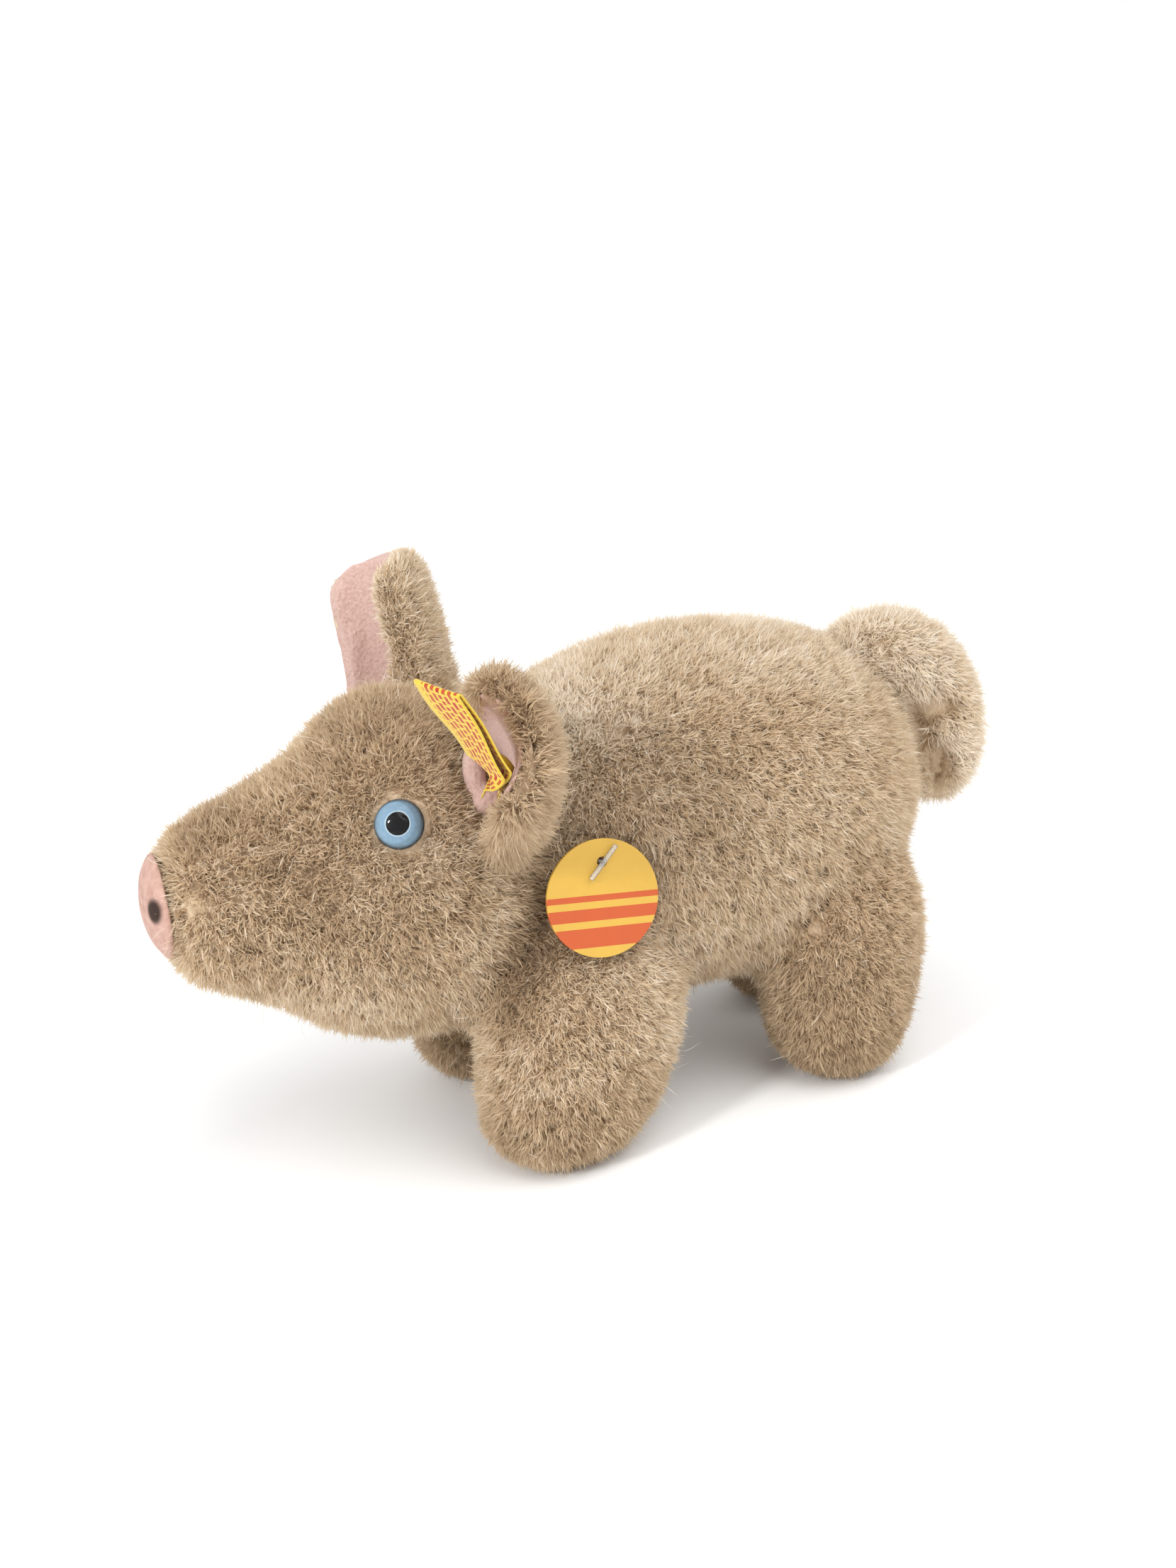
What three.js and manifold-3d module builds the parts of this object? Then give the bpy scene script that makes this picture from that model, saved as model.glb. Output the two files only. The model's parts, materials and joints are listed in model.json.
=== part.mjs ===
// A standing plush pig. Body, head, legs and tail are sewn of pile fabric and stuffed, the ears
// are lined with felt and the snout ends in a felt disc. It has glossy eyes, a folded ribbon
// riveted in the left ear and a round card hung on the left shoulder.
// Millimetres, +Z up. The pig looks along -Y, and its own left side is +X.

import * as THREE from "three";
import { mergeVertices } from "three/addons/utils/BufferGeometryUtils.js";
import Module from "manifold-3d";

const wasm = await Module();
wasm.setup();

// Clearances and fabric
const seatGap = 0.3;
const soleCut = 0.5;
const overrun = 4;
const weldGap = 0.0001;
const plushThickness = 5;

// Body: length from the chest, at y zero, to the rump, height from belly to back, and width
const bodyLength = 119;
const bodyHeight = 84.6;
const bodyWidth = 70;
const bellyClearance = 24;
// along, centre height, half width and half height, as shares of the three body sizes
const bodyShares = [
  [0.0, 0.45, 0.36, 0.4],
  [0.16, 0.47, 0.44, 0.46],
  [0.34, 0.49, 0.49, 0.49],
  [0.52, 0.5, 0.5, 0.5],
  [0.7, 0.49, 0.49, 0.48],
  [0.86, 0.46, 0.45, 0.43],
  [1.0, 0.43, 0.4, 0.37],
];
const bodyBluntness = [2.6, 3];

// Head: from the snout's front to the nape, which lies inside the body
const headLength = 94.5;
const headHeight = 81;
const headWidth = 68;
// the nape's place along the body and the jowl's height up it
const napeShare = 0.277;
const jowlShare = 0.035;
// along, centre height, half width and half height, as shares of the three head sizes
const headShares = [
  [0.0, 0.485, 0.225, 0.205],
  [0.13, 0.485, 0.26, 0.245],
  [0.28, 0.475, 0.33, 0.325],
  [0.4, 0.465, 0.41, 0.42],
  [0.54, 0.475, 0.475, 0.48],
  [0.68, 0.51, 0.5, 0.5],
  [0.84, 0.54, 0.47, 0.44],
  [1.0, 0.54, 0.4, 0.36],
];
const headBluntness = [14, 2.4];

// Legs: flat feet under the body, each leg rising to a root inside it
const frontLegWidth = 34;
const frontLegLength = 44;
const rearLegWidth = 34;
const rearLegLength = 43;
const legRootShare = 0.449;
// how far out a foot stands, as a share of the body's half width, and how far along the body
const frontFootShares = [0.714, 0.126];
const rearFootShares = [0.571, 0.731];
const farRearFootShares = [0.714, 0.807];
// height above the sole, shift inwards, shift back, half width and half length
const frontLegShares = [
  [1.0, 0.2, 0.28, 0.42, 0.48],
  [0.7, 0.1, 0.24, 0.48, 0.56],
  [0.42, 0.02, 0.11, 0.5, 0.53],
  [0.18, 0.0, 0.0, 0.48, 0.45],
  [0.0, 0.0, -0.02, 0.44, 0.4],
];
const rearLegShares = [
  [1.0, 0.16, 0.1, 0.42, 0.5],
  [0.7, 0.06, 0.08, 0.48, 0.52],
  [0.42, 0.0, 0.04, 0.5, 0.46],
  [0.18, 0.0, 0.0, 0.48, 0.4],
  [0.0, 0.0, -0.02, 0.44, 0.34],
];
const legBluntness = [2.6, 5];

// Tail: a thick pile tube that leaves the rump, turns down and curls back to the left
const tailReach = 40;
const tailDrop = 44;
const tailDiameter = 25;
// the root's place along the body and up it
const tailRootShares = [0.84, 0.804];
// across and back as shares of the reach, up as a share of the drop, radius of the diameter
const tailShares = [
  [0.0, 0.0, 0.0, 0.5],
  [0.0, 0.36, 0.02, 0.5],
  [0.02, 0.64, -0.16, 0.48],
  [0.08, 0.72, -0.5, 0.46],
  [0.2, 0.6, -0.84, 0.42],
];
const tailBluntness = [2.6, 2.6];

// Ears: cupped leaves of plush with a felt lining, the left one folded further out
// tilted out, tilted back and turned about their own length
const earLength = 41;
const earPlush = 6.2;
const earLiningThickness = 1;
const earEdgeMargin = 1.6;
const rightEarWidth = 42;
const rightEarCupDegrees = [90, 84];
const rightEarTiltDegrees = [-10, -6, 8];
const leftEarWidth = 31;
const leftEarCupDegrees = [70, 66];
const leftEarTiltDegrees = [60, -14, -4];
// an ear's root on the head: out from the middle, back from the snout and up from the jowl
const rightEarRootShares = [-0.824, 0.77, 0.765];
const leftEarRootShares = [0.735, 0.78, 0.74];
// where along its length a leaf is widest, and its width at the root and the tip
const earWidestShare = 0.5;
const earRootShare = 1.2;
const earTipShare = 0.04;
const earRoundness = 7;
// how thin the pile gets at a leaf's edges and at its tip, and how late it starts to
const earEdgeShare = 0.3;
const earTipThinShare = 0.15;
const earEdgeLateness = 6;
const earTipLateness = 10;

// Snout disc: pink felt over the blunt end of the snout
const snoutDiscHeight = 19.5;
const snoutDiscWidth = 17.5;
const feltThickness = 1.4;

// Eyes: a clear dome over a blue ring, on a black shank held by a washer inside the head
const eyeDiameter = 10.4;
const eyeDomeHeight = 4;
const irisThickness = 0.6;
const pupilDiameter = 4.9;
const shankDiameter = 3;
const shankLength = 9;
const washerDiameter = 8;
const washerThickness = 1.2;
const washerDepth = 1.6;
const eyeSink = 0.8;
const eyeAlongShare = 0.09;
const eyeTurnDegrees = 29.8;

// Hang tag on the left shoulder, its clear fastener and the fastener's inner bar
const tagDiameter = 25;
const tagThickness = 0.8;
const tagHoleDiameter = 2.2;
const tagHoleOffset = 7.6;
// the hole's place along the body and up it
const tagHoleShares = [0.214, 0.463];
const tagLeanDegrees = 10;
const tagSwingDegrees = -7;
const tagReachDegrees = 35;
const filamentDiameter = 0.9;
const barDiameter = 1.1;
const barLength = 9;
const barTurnDegrees = 42;
const anchorLength = 12;
const flexBehindCard = 0.8;

// Ear flag: a folded woven ribbon, and the rivet that holds it in the left ear
const flagLength = 29;
const flagWidth = 12.5;
const ribbonThickness = 0.4;
const flagGap = 2.4;
const flagTab = 3;
const flagLift = 0.8;
const flagBendDegrees = 40;
const flagTurnDegrees = 70;
// the ribbon is narrow at the rivet, opens over the pinch and is twisted there and at its fold
const flagTabWidth = 6;
const flagPinch = 6;
const flagTwistDegrees = [63, 75];
const rivetAlongShare = 0.7;
const rivetAcrossShare = 0.55;
const rivetDiameter = 1.6;
const rivetFlareDiameter = 2.7;
const rivetCapDiameter = 4.6;
const rivetCapFlatShare = 0.65;
const rivetCapThickness = 0.5;
const rivetPlateDiameter = 5;
const rivetPlateSink = 3.2;

const across = new THREE.Vector3(1, 0, 0);
const back = new THREE.Vector3(0, 1, 0);
const up = new THREE.Vector3(0, 0, 1);

// A soft form: rings along a spine, each an ellipse of its own half width and half depth.
function softForm(rows, bluntness, rings, sides) {
  const smooth = (points) => new THREE.CatmullRomCurve3(points, false, "catmullrom");
  const centres = smooth(rows.map((row) => row.centre));
  const sizes = smooth(rows.map((row) => new THREE.Vector3(row.half, row.deep, 0)));
  return { centres, sizes, bluntness, rings, sides, length: centres.getLength() };
}

// The point of a form's surface at s, from -1 at its start to 1 at its end, and an angle round
// the spine. A positive inset lies inside the surface and a negative one outside it.
function formPoint(form, s, angle, inset = 0) {
  const trim = inset / form.length;
  const t = THREE.MathUtils.clamp((1 + s) / 2, 0, 1);
  const along = THREE.MathUtils.lerp(trim, 1 - trim, t);
  const blunt = form.bluntness[s < 0 ? 0 : 1];
  const cap = Math.sqrt(Math.max(0, 1 - Math.abs(s) ** blunt));
  const inSpan = THREE.MathUtils.clamp(along, 0, 1);
  const centre = form.centres.getPoint(inSpan);
  const tangent = form.centres.getTangent(inSpan);
  centre.addScaledVector(tangent, (along - inSpan) * form.length);
  const size = form.sizes.getPoint(inSpan);
  const side = across.clone().addScaledVector(tangent, -across.dot(tangent)).normalize();
  const rise = side.clone().cross(tangent);
  return centre
    .addScaledVector(side, (size.x - inset) * cap * Math.cos(angle))
    .addScaledVector(rise, (size.y - inset) * cap * Math.sin(angle));
}

// The closed mesh of a form at an inset. detail thins the rings and sides of inner walls.
function formGeometry(form, inset = 0, detail = 1) {
  const rings = Math.round(form.rings * detail);
  const sides = Math.round(form.sides * detail);
  const points = [formPoint(form, -1, 0, inset)];
  for (let i = 1; i < rings; i += 1) {
    const s = -Math.cos((Math.PI * i) / rings);
    for (let j = 0; j < sides; j += 1) {
      points.push(formPoint(form, s, (2 * Math.PI * j) / sides, inset));
    }
  }
  points.push(formPoint(form, 1, 0, inset));
  const last = points.length - 1;
  const faces = [];
  const ring = (i, j) => 1 + (i - 1) * sides + (j % sides);
  for (let j = 0; j < sides; j += 1) {
    faces.push(0, ring(1, j), ring(1, j + 1));
    for (let i = 1; i < rings - 1; i += 1) {
      faces.push(ring(i, j), ring(i + 1, j), ring(i + 1, j + 1));
      faces.push(ring(i, j), ring(i + 1, j + 1), ring(i, j + 1));
    }
    faces.push(ring(rings - 1, j), last, ring(rings - 1, j + 1));
  }
  const geometry = new THREE.BufferGeometry().setFromPoints(points);
  geometry.setIndex(faces);
  return geometry;
}

// A solid that can be cut and joined, and the mesh of one
function solid(geometry, matrix = new THREE.Matrix4()) {
  const plain = geometry.clone();
  plain.deleteAttribute("normal");
  plain.deleteAttribute("uv");
  const merged = mergeVertices(plain.applyMatrix4(matrix), weldGap);
  return new wasm.Manifold(
    new wasm.Mesh({
      numProp: 3,
      vertProperties: new Float32Array(merged.attributes.position.array),
      triVerts: new Uint32Array(merged.index.array),
    }),
  );
}

function geometryOf(manifold) {
  const mesh = manifold.getMesh();
  const geometry = new THREE.BufferGeometry();
  geometry.setAttribute("position", new THREE.BufferAttribute(mesh.vertProperties, 3));
  geometry.setIndex(new THREE.BufferAttribute(mesh.triVerts, 1));
  return geometry;
}

const wallDetail = 0.6;
const outer = (form, inset = 0) => solid(formGeometry(form, inset));
const inner = (form, inset) => solid(formGeometry(form, inset, wallDetail));

// A place in the body's or the head's own box: out from the middle, along it and up it
const inBody = (aside, along, height) =>
  new THREE.Vector3(
    (aside * bodyWidth) / 2,
    along * bodyLength,
    bellyClearance + height * bodyHeight,
  );
const snout = inBody(0, napeShare, jowlShare).addScaledVector(back, -headLength);
const inHead = (aside, along, height) =>
  new THREE.Vector3((aside * headWidth) / 2, along * headLength, height * headHeight).add(snout);

// Soft forms of the body, head, legs and tail
const body = softForm(
  bodyShares.map(([along, height, half, deep]) => ({
    centre: inBody(0, along, height),
    half: half * bodyWidth,
    deep: deep * bodyHeight,
  })),
  bodyBluntness,
  20,
  24,
);
const head = softForm(
  headShares.map(([along, height, half, deep]) => ({
    centre: inHead(0, along, height),
    half: half * headWidth,
    deep: deep * headHeight,
  })),
  headBluntness,
  22,
  24,
);
function legForm(side, [footOut, footAlong], [width, length, shares]) {
  const root = inBody(side * footOut, footAlong, legRootShare);
  return softForm(
    shares.map(([height, inwards, backwards, half, deep]) => ({
      centre: new THREE.Vector3(
        root.x - side * inwards * width,
        root.y + backwards * length,
        height * (root.z + soleCut) - soleCut,
      ),
      half: half * width,
      deep: deep * length,
    })),
    legBluntness,
    14,
    18,
  );
}
const frontLeg = [frontLegWidth, frontLegLength, frontLegShares];
const rearLeg = [rearLegWidth, rearLegLength, rearLegShares];
const legs = {
  front_left_leg: legForm(1, frontFootShares, frontLeg),
  front_right_leg: legForm(-1, frontFootShares, frontLeg),
  rear_left_leg: legForm(1, rearFootShares, rearLeg),
  rear_right_leg: legForm(-1, farRearFootShares, rearLeg),
};
const tailRoot = inBody(0, ...tailRootShares);
const tail = softForm(
  tailShares.map(([aside, backwards, rise, radius]) => ({
    centre: new THREE.Vector3(
      aside * tailReach,
      tailRoot.y + backwards * tailReach,
      tailRoot.z + rise * tailDrop,
    ),
    half: radius * tailDiameter,
    deep: radius * tailDiameter,
  })),
  tailBluntness,
  18,
  14,
);

// Cupped leaf of an ear in its own frame: root at the origin, +Z to the tip, open towards -Y.
function earPoint({ width, cupDegrees }, along, share, offset) {
  const cup = THREE.MathUtils.degToRad(THREE.MathUtils.lerp(...cupDegrees, along));
  const radius = width / 2 / cup;
  const angle = cup * share;
  const reach = radius - offset;
  return new THREE.Vector3(
    reach * Math.sin(angle),
    reach * Math.cos(angle) - radius,
    along * earLength,
  );
}

// Half width of a leaf as a share of its widest, with a round tip.
function earOutline(along) {
  if (along < earWidestShare) {
    const rise = Math.sin(((Math.PI / 2) * along) / earWidestShare);
    return THREE.MathUtils.lerp(earRootShare, 1, rise);
  }
  const past = (along - earWidestShare) / (1 - earWidestShare);
  return Math.sqrt(Math.max(0, 1 - past ** earRoundness));
}

// The closed slab of a leaf between two offsets from its middle surface. margin draws its
// outline in, and rounded thins it towards the edges and the tip.
function earGeometry(ear, from, to, margin, rounded) {
  const rows = 12;
  const columns = 12;
  const grid = [];
  const tip = 1 - margin / earLength;
  for (const offset of [from, to]) {
    for (let i = 0; i <= rows; i += 1) {
      const row = Math.sin(((Math.PI / 2) * i) / rows);
      const along = tip * row;
      const half = Math.max(earOutline(along) - margin / (ear.width / 2), earTipShare);
      const tipThin = Math.sqrt(1 - (1 - earTipThinShare) * row ** earTipLateness);
      for (let j = 0; j <= columns; j += 1) {
        const v = (2 * j) / columns - 1;
        const round = Math.sqrt(1 - Math.abs(v) ** earEdgeLateness);
        const thin = rounded ? THREE.MathUtils.lerp(earEdgeShare, 1, round) * tipThin : 1;
        grid.push(earPoint(ear, along, half * v, offset * thin));
      }
    }
  }
  const layer = (rows + 1) * (columns + 1);
  const at = (k, i, j) => k * layer + i * (columns + 1) + j;
  const faces = [];
  const quad = (a, b, c, d) => faces.push(a, b, c, a, c, d);
  for (let i = 0; i < rows; i += 1) {
    for (let j = 0; j < columns; j += 1) {
      quad(at(0, i, j), at(0, i + 1, j), at(0, i + 1, j + 1), at(0, i, j + 1));
      quad(at(1, i, j), at(1, i, j + 1), at(1, i + 1, j + 1), at(1, i + 1, j));
    }
    quad(at(0, i, 0), at(1, i, 0), at(1, i + 1, 0), at(0, i + 1, 0));
    quad(at(0, i, columns), at(0, i + 1, columns), at(1, i + 1, columns), at(1, i, columns));
  }
  for (let j = 0; j < columns; j += 1) {
    quad(at(0, 0, j), at(0, 0, j + 1), at(1, 0, j + 1), at(1, 0, j));
    quad(at(0, rows, j), at(1, rows, j), at(1, rows, j + 1), at(0, rows, j + 1));
  }
  const geometry = new THREE.BufferGeometry().setFromPoints(grid);
  geometry.setIndex(faces);
  return geometry;
}

// The pig's group and the finishes of its pieces
const pig = new THREE.Group();
const material = (color, roughness, metalness = 0) =>
  new THREE.MeshStandardMaterial({ color, roughness, metalness });
const plush = material(0xb79f86, 1);
const filling = material(0xf2f0ea, 1);
const pinkFelt = material(0xe9b4b0, 0.95);
const clearPlastic = material(0xe8ecef, 0.1);
const irisBlue = material(0x6f93bd, 0.3);
const blackPlastic = material(0x0c0c0e, 0.2);
const whitePlastic = material(0xe6e6e2, 0.5);
const yellowCard = material(0xf2c230, 0.6);
const yellowRibbon = material(0xf3d72e, 0.7);
const brass = material(0xc9a24a, 0.3, 1);

function add(parent, name, geometry, finish) {
  const mesh = new THREE.Mesh(geometry, finish);
  mesh.name = name;
  parent.add(mesh);
  return mesh;
}

function addGroup(parent, name, position, quaternion = new THREE.Quaternion()) {
  const group = new THREE.Group();
  group.name = name;
  group.position.copy(position);
  group.quaternion.copy(quaternion);
  parent.add(group);
  group.updateMatrixWorld(true);
  return group;
}

// A closed round solid about +Z from [radius, height] pairs, bottom to top.
function turned(pairs, sides = 24) {
  const geometry = new THREE.LatheGeometry(pairs.map(([r, z]) => new THREE.Vector2(r, z)), sides);
  return geometry.rotateX(Math.PI / 2);
}
const rod = (radius, from, to, sides) =>
  turned([[0, from], [radius, from], [radius, to], [0, to]], sides);
const placed = (group, geometry) => solid(geometry, group.matrixWorld);

// Stuffed forms, each cut by the larger ones
const bodyClear = outer(body, -seatGap);
const headClear = outer(head, -seatGap);
const bodyHollow = inner(body, plushThickness);
const limbs = { head, ...legs, tail };
const skins = { body: outer(body).subtract(bodyHollow) };
const stuffings = { body: inner(body, plushThickness + seatGap) };
for (const [name, form] of Object.entries(limbs)) {
  skins.body = skins.body.subtract(inner(form, plushThickness));
  skins[name] = outer(form).subtract(inner(form, plushThickness)).subtract(bodyClear);
  stuffings[name] = inner(form, plushThickness + seatGap).subtract(bodyHollow);
  if (form !== head) {
    skins[name] = skins[name].subtract(headClear);
    stuffings[name] = stuffings[name].subtract(headClear);
  }
}
const ground = new THREE.BoxGeometry(2 * bodyLength, 2 * bodyLength, bodyLength);
const underground = solid(ground.translate(0, 0, -bodyLength / 2));
for (const name of Object.keys(legs)) skins[name] = skins[name].subtract(underground);
const cutSoft = (cutter, names) => {
  for (const name of names) {
    skins[name] = skins[name].subtract(cutter);
    stuffings[name] = stuffings[name].subtract(cutter);
  }
};

// A frame on a form's surface, +Z along its outward normal.
function surfaceFrame(form, s, angle) {
  const step = 0.01;
  const point = formPoint(form, s, angle);
  const along = formPoint(form, s + step, angle).sub(formPoint(form, s - step, angle));
  const round = formPoint(form, s, angle + step).sub(formPoint(form, s, angle - step));
  const normal = along.cross(round).normalize();
  const turn = new THREE.Quaternion().setFromUnitVectors(up, normal);
  return [point, turn];
}

// Eyes: a lens over an iris, and a shank with its washer behind the pile
const eyeRadius = eyeDiameter / 2;
const lensBase = -eyeSink;
const irisTop = lensBase - seatGap;
const irisBase = irisTop - irisThickness;
const washerTop = -plushThickness - washerDepth;
const domeSteps = 8;
const dome = [[0, lensBase]];
for (let i = 0; i <= domeSteps; i += 1) {
  const angle = ((Math.PI / 2) * i) / domeSteps;
  dome.push([eyeRadius * Math.cos(angle), lensBase + eyeDomeHeight * Math.sin(angle)]);
}
function ringAround(inside, outside, from, to) {
  return turned([[inside, from], [outside, from], [outside, to], [inside, to], [inside, from]]);
}
const eyeTurn = THREE.MathUtils.degToRad(eyeTurnDegrees);
for (const [sideName, angle] of [["left", eyeTurn], ["right", Math.PI - eyeTurn]]) {
  const eye = addGroup(pig, `${sideName}_eye`, ...surfaceFrame(head, eyeAlongShare, angle));
  const pupilRadius = pupilDiameter / 2;
  const shankRadius = shankDiameter / 2;
  add(eye, `${sideName}_eye_lens`, turned(dome), clearPlastic);
  add(
    eye,
    `${sideName}_eye_iris`,
    ringAround(pupilRadius + seatGap, eyeRadius, irisBase, irisTop),
    irisBlue,
  );
  add(
    eye,
    `${sideName}_eye_shank`,
    turned([
      [0, irisBase - shankLength],
      [shankRadius, irisBase - shankLength],
      [shankRadius, irisBase],
      [pupilRadius, irisBase],
      [pupilRadius, irisTop],
      [0, irisTop],
    ]),
    blackPlastic,
  );
  add(
    eye,
    `${sideName}_eye_washer`,
    ringAround(shankRadius + seatGap, washerDiameter / 2, washerTop - washerThickness, washerTop),
    whitePlastic,
  );
  const seat = rod(eyeRadius + seatGap, irisBase - seatGap, eyeDomeHeight + overrun);
  const hole = rod(shankRadius + seatGap, -plushThickness - overrun, overrun, 12);
  const pocket = rod(washerDiameter / 2 + seatGap, irisBase - shankLength - seatGap, 0);
  skins.head = skins.head.subtract(placed(eye, seat)).subtract(placed(eye, hole));
  stuffings.head = stuffings.head.subtract(placed(eye, pocket));
}

// Snout disc: a felt oval over the snout's blunt end
const snoutCentre = head.centres.getPoint(0);
const discOval = new THREE.CylinderGeometry(1, 1, 2 * overrun, 32)
  .scale(snoutDiscWidth / 2, 1, snoutDiscHeight / 2)
  .translate(...snoutCentre.toArray());
const discSolid = outer(head, -seatGap - feltThickness)
  .intersect(solid(discOval))
  .subtract(headClear);
add(pig, "snout_disc", geometryOf(discSolid), pinkFelt);

// Ears: each stands at its root on the head, tilted out and back and turned, cut by the head
function earGroup(name, rootShares, [outDegrees, backDegrees, turnDegrees]) {
  const turn = new THREE.Quaternion().setFromEuler(
    new THREE.Euler(
      THREE.MathUtils.degToRad(-backDegrees),
      THREE.MathUtils.degToRad(outDegrees),
      THREE.MathUtils.degToRad(turnDegrees),
      "YXZ",
    ),
  );
  return addGroup(pig, name, inHead(...rootShares), turn);
}
const ears = {
  left: {
    group: earGroup("left_ear", leftEarRootShares, leftEarTiltDegrees),
    width: leftEarWidth,
    cupDegrees: leftEarCupDegrees,
  },
  right: {
    group: earGroup("right_ear", rightEarRootShares, rightEarTiltDegrees),
    width: rightEarWidth,
    cupDegrees: rightEarCupDegrees,
  },
};
const liningTop = seatGap + earLiningThickness;
const earSolids = {};
for (const [side, ear] of Object.entries(ears)) {
  const toLocal = ear.group.matrixWorld.clone().invert();
  const headCut = headClear.transform(toLocal.elements);
  const leaf = earGeometry(ear, -earPlush, 0, 0, true);
  const felt = earGeometry(ear, seatGap, liningTop, earEdgeMargin, false);
  earSolids[side] = {
    pile: solid(leaf).subtract(headCut),
    lining: solid(felt).subtract(headCut),
  };
}

// Ear rivet: its frame has +Z out of the lining and +X along the ribbon
const onEar = (offset) => earPoint(ears.left, rivetAlongShare, rivetAcrossShare, offset);
const rivetSpot = onEar(liningTop);
const rivetTurn = new THREE.Quaternion()
  .setFromUnitVectors(up, rivetSpot.clone().sub(onEar(0)).normalize())
  .multiply(
    new THREE.Quaternion().setFromAxisAngle(up, THREE.MathUtils.degToRad(flagTurnDegrees)),
  );
const rivet = addGroup(ears.left.group, "flag_turn_pivot", rivetSpot, rivetTurn);
const rivetRadius = rivetDiameter / 2;
const capBase = flagLift + ribbonThickness + seatGap;
const plateTop = -liningTop - earPlush + rivetPlateSink;
const plateBase = plateTop - rivetCapThickness;
const flareBase = plateBase - seatGap - rivetCapThickness;
add(
  rivet,
  "ear_button",
  turned([
    [0, flareBase],
    [rivetFlareDiameter / 2, flareBase],
    [rivetFlareDiameter / 2, flareBase + rivetCapThickness],
    [rivetRadius, flareBase + rivetCapThickness],
    [rivetRadius, capBase],
    [rivetCapDiameter / 2, capBase],
    [rivetCapDiameter / 2, capBase + rivetCapThickness / 2],
    [(rivetCapFlatShare * rivetCapDiameter) / 2, capBase + rivetCapThickness],
    [0, capBase + rivetCapThickness],
  ]),
  brass,
);
add(
  rivet,
  "ear_button_plate",
  ringAround(rivetRadius + seatGap, rivetPlateDiameter / 2, plateBase, plateTop),
  brass,
);
const rivetHole = rod(rivetRadius + seatGap, flareBase - overrun, capBase, 12);
const platePocket = rod(rivetPlateDiameter / 2 + seatGap, flareBase - overrun, plateTop + seatGap);
for (const cutter of [rivetHole, platePocket]) {
  const localCutter = solid(cutter, rivet.matrix);
  earSolids.left.pile = earSolids.left.pile.subtract(localCutter);
  earSolids.left.lining = earSolids.left.lining.subtract(localCutter);
}
for (const [side, { group }] of Object.entries(ears)) {
  add(group, `${side}_ear_plush`, geometryOf(earSolids[side].pile), plush);
  add(group, `${side}_ear_lining`, geometryOf(earSolids[side].lining), pinkFelt);
}

// Ear flag: the ribbon's path, a tab under the rivet's cap, a rise, a fold and the way back
const flagBend = THREE.MathUtils.degToRad(flagBendDegrees);
const flagAlong = new THREE.Vector2(Math.cos(flagBend), Math.sin(flagBend));
const flagRise = new THREE.Vector2(-flagAlong.y, flagAlong.x);
const rearHeight = flagLift + ribbonThickness / 2;
const bendPoint = new THREE.Vector2(flagTab, rearHeight);
const flagSpan = flagLength - flagTab;
const foldRadius = ribbonThickness;
const onFlag = (along, rise) =>
  bendPoint.clone().addScaledVector(flagAlong, along).addScaledVector(flagRise, rise);
const flagSteps = 13;
const foldSteps = 4;
const ribbonPath = [new THREE.Vector2(-flagTab, rearHeight)];
for (let i = 0; i < flagSteps; i += 1) ribbonPath.push(onFlag((flagSpan * i) / flagSteps, 0));
for (let i = 0; i <= foldSteps; i += 1) {
  const turn = (Math.PI * i) / foldSteps;
  ribbonPath.push(
    onFlag(flagSpan + foldRadius * Math.sin(turn), foldRadius * (1 - Math.cos(turn))),
  );
}
for (let i = flagSteps - 1; i > 0; i -= 1) {
  const share = i / flagSteps;
  ribbonPath.push(onFlag(flagSpan * share, THREE.MathUtils.lerp(flagGap, 2 * foldRadius, share)));
}
const endHeight = capBase + rivetCapThickness + flagGap;
ribbonPath.push(new THREE.Vector2(flagTab / 2, endHeight), new THREE.Vector2(-flagTab, endHeight));

// The ribbon: four corners round each point of its path, pinched at the rivet and twisted past it.
// Every twisted stretch is split along the same diagonal on all its wide faces, so that the two
// faces of a run, and the two runs, stay apart: from the left edge near the rivet to the right
// edge further out.
function ribbonGeometry() {
  const axis = new THREE.Vector3(flagAlong.x, 0, flagAlong.y);
  const root = new THREE.Vector3(bendPoint.x, 0, bendPoint.y);
  const corners = [];
  const distances = [];
  ribbonPath.forEach((point, i) => {
    const before = ribbonPath[Math.max(i - 1, 0)];
    const after = ribbonPath[Math.min(i + 1, ribbonPath.length - 1)];
    const inward = point.clone().sub(before).normalize();
    const along = after.clone().sub(point).normalize().add(inward).normalize();
    const past = point.clone().sub(bendPoint).dot(flagAlong);
    distances.push(past);
    const opened = THREE.MathUtils.smoothstep(past, 0, flagPinch);
    const half = THREE.MathUtils.lerp(flagTabWidth, flagWidth, opened) / 2;
    const twist = THREE.MathUtils.lerp(...flagTwistDegrees, past / flagSpan) * opened;
    for (const [side, face] of [[-1, -1], [1, -1], [1, 1], [-1, 1]]) {
      const rise = (face * ribbonThickness) / 2;
      corners.push(
        new THREE.Vector3(point.x - rise * along.y, side * half, point.y + rise * along.x)
          .sub(root)
          .applyAxisAngle(axis, THREE.MathUtils.degToRad(twist))
          .add(root),
      );
    }
  });
  const faces = [];
  const last = corners.length - 4;
  for (let k = 0; k < last; k += 4) {
    const returning = distances[k / 4 + 1] < distances[k / 4];
    for (let j = 0; j < 4; j += 1) {
      const [a, b] = [k + j, k + ((j + 1) % 4)];
      const [c, d] = [b + 4, a + 4];
      const split = (j === 2) === returning ? [a, b, c, a, c, d] : [a, b, d, b, c, d];
      faces.push(...split);
    }
  }
  faces.push(0, 3, 2, 0, 2, 1, last, last + 1, last + 2, last, last + 2, last + 3);
  const geometry = new THREE.BufferGeometry().setFromPoints(corners);
  geometry.setIndex(faces);
  return geometry;
}
const ribbonHole = solid(rod(rivetRadius + seatGap, 0, capBase, 12));
add(rivet, "ear_flag", geometryOf(solid(ribbonGeometry()).subtract(ribbonHole)), yellowRibbon);

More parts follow.
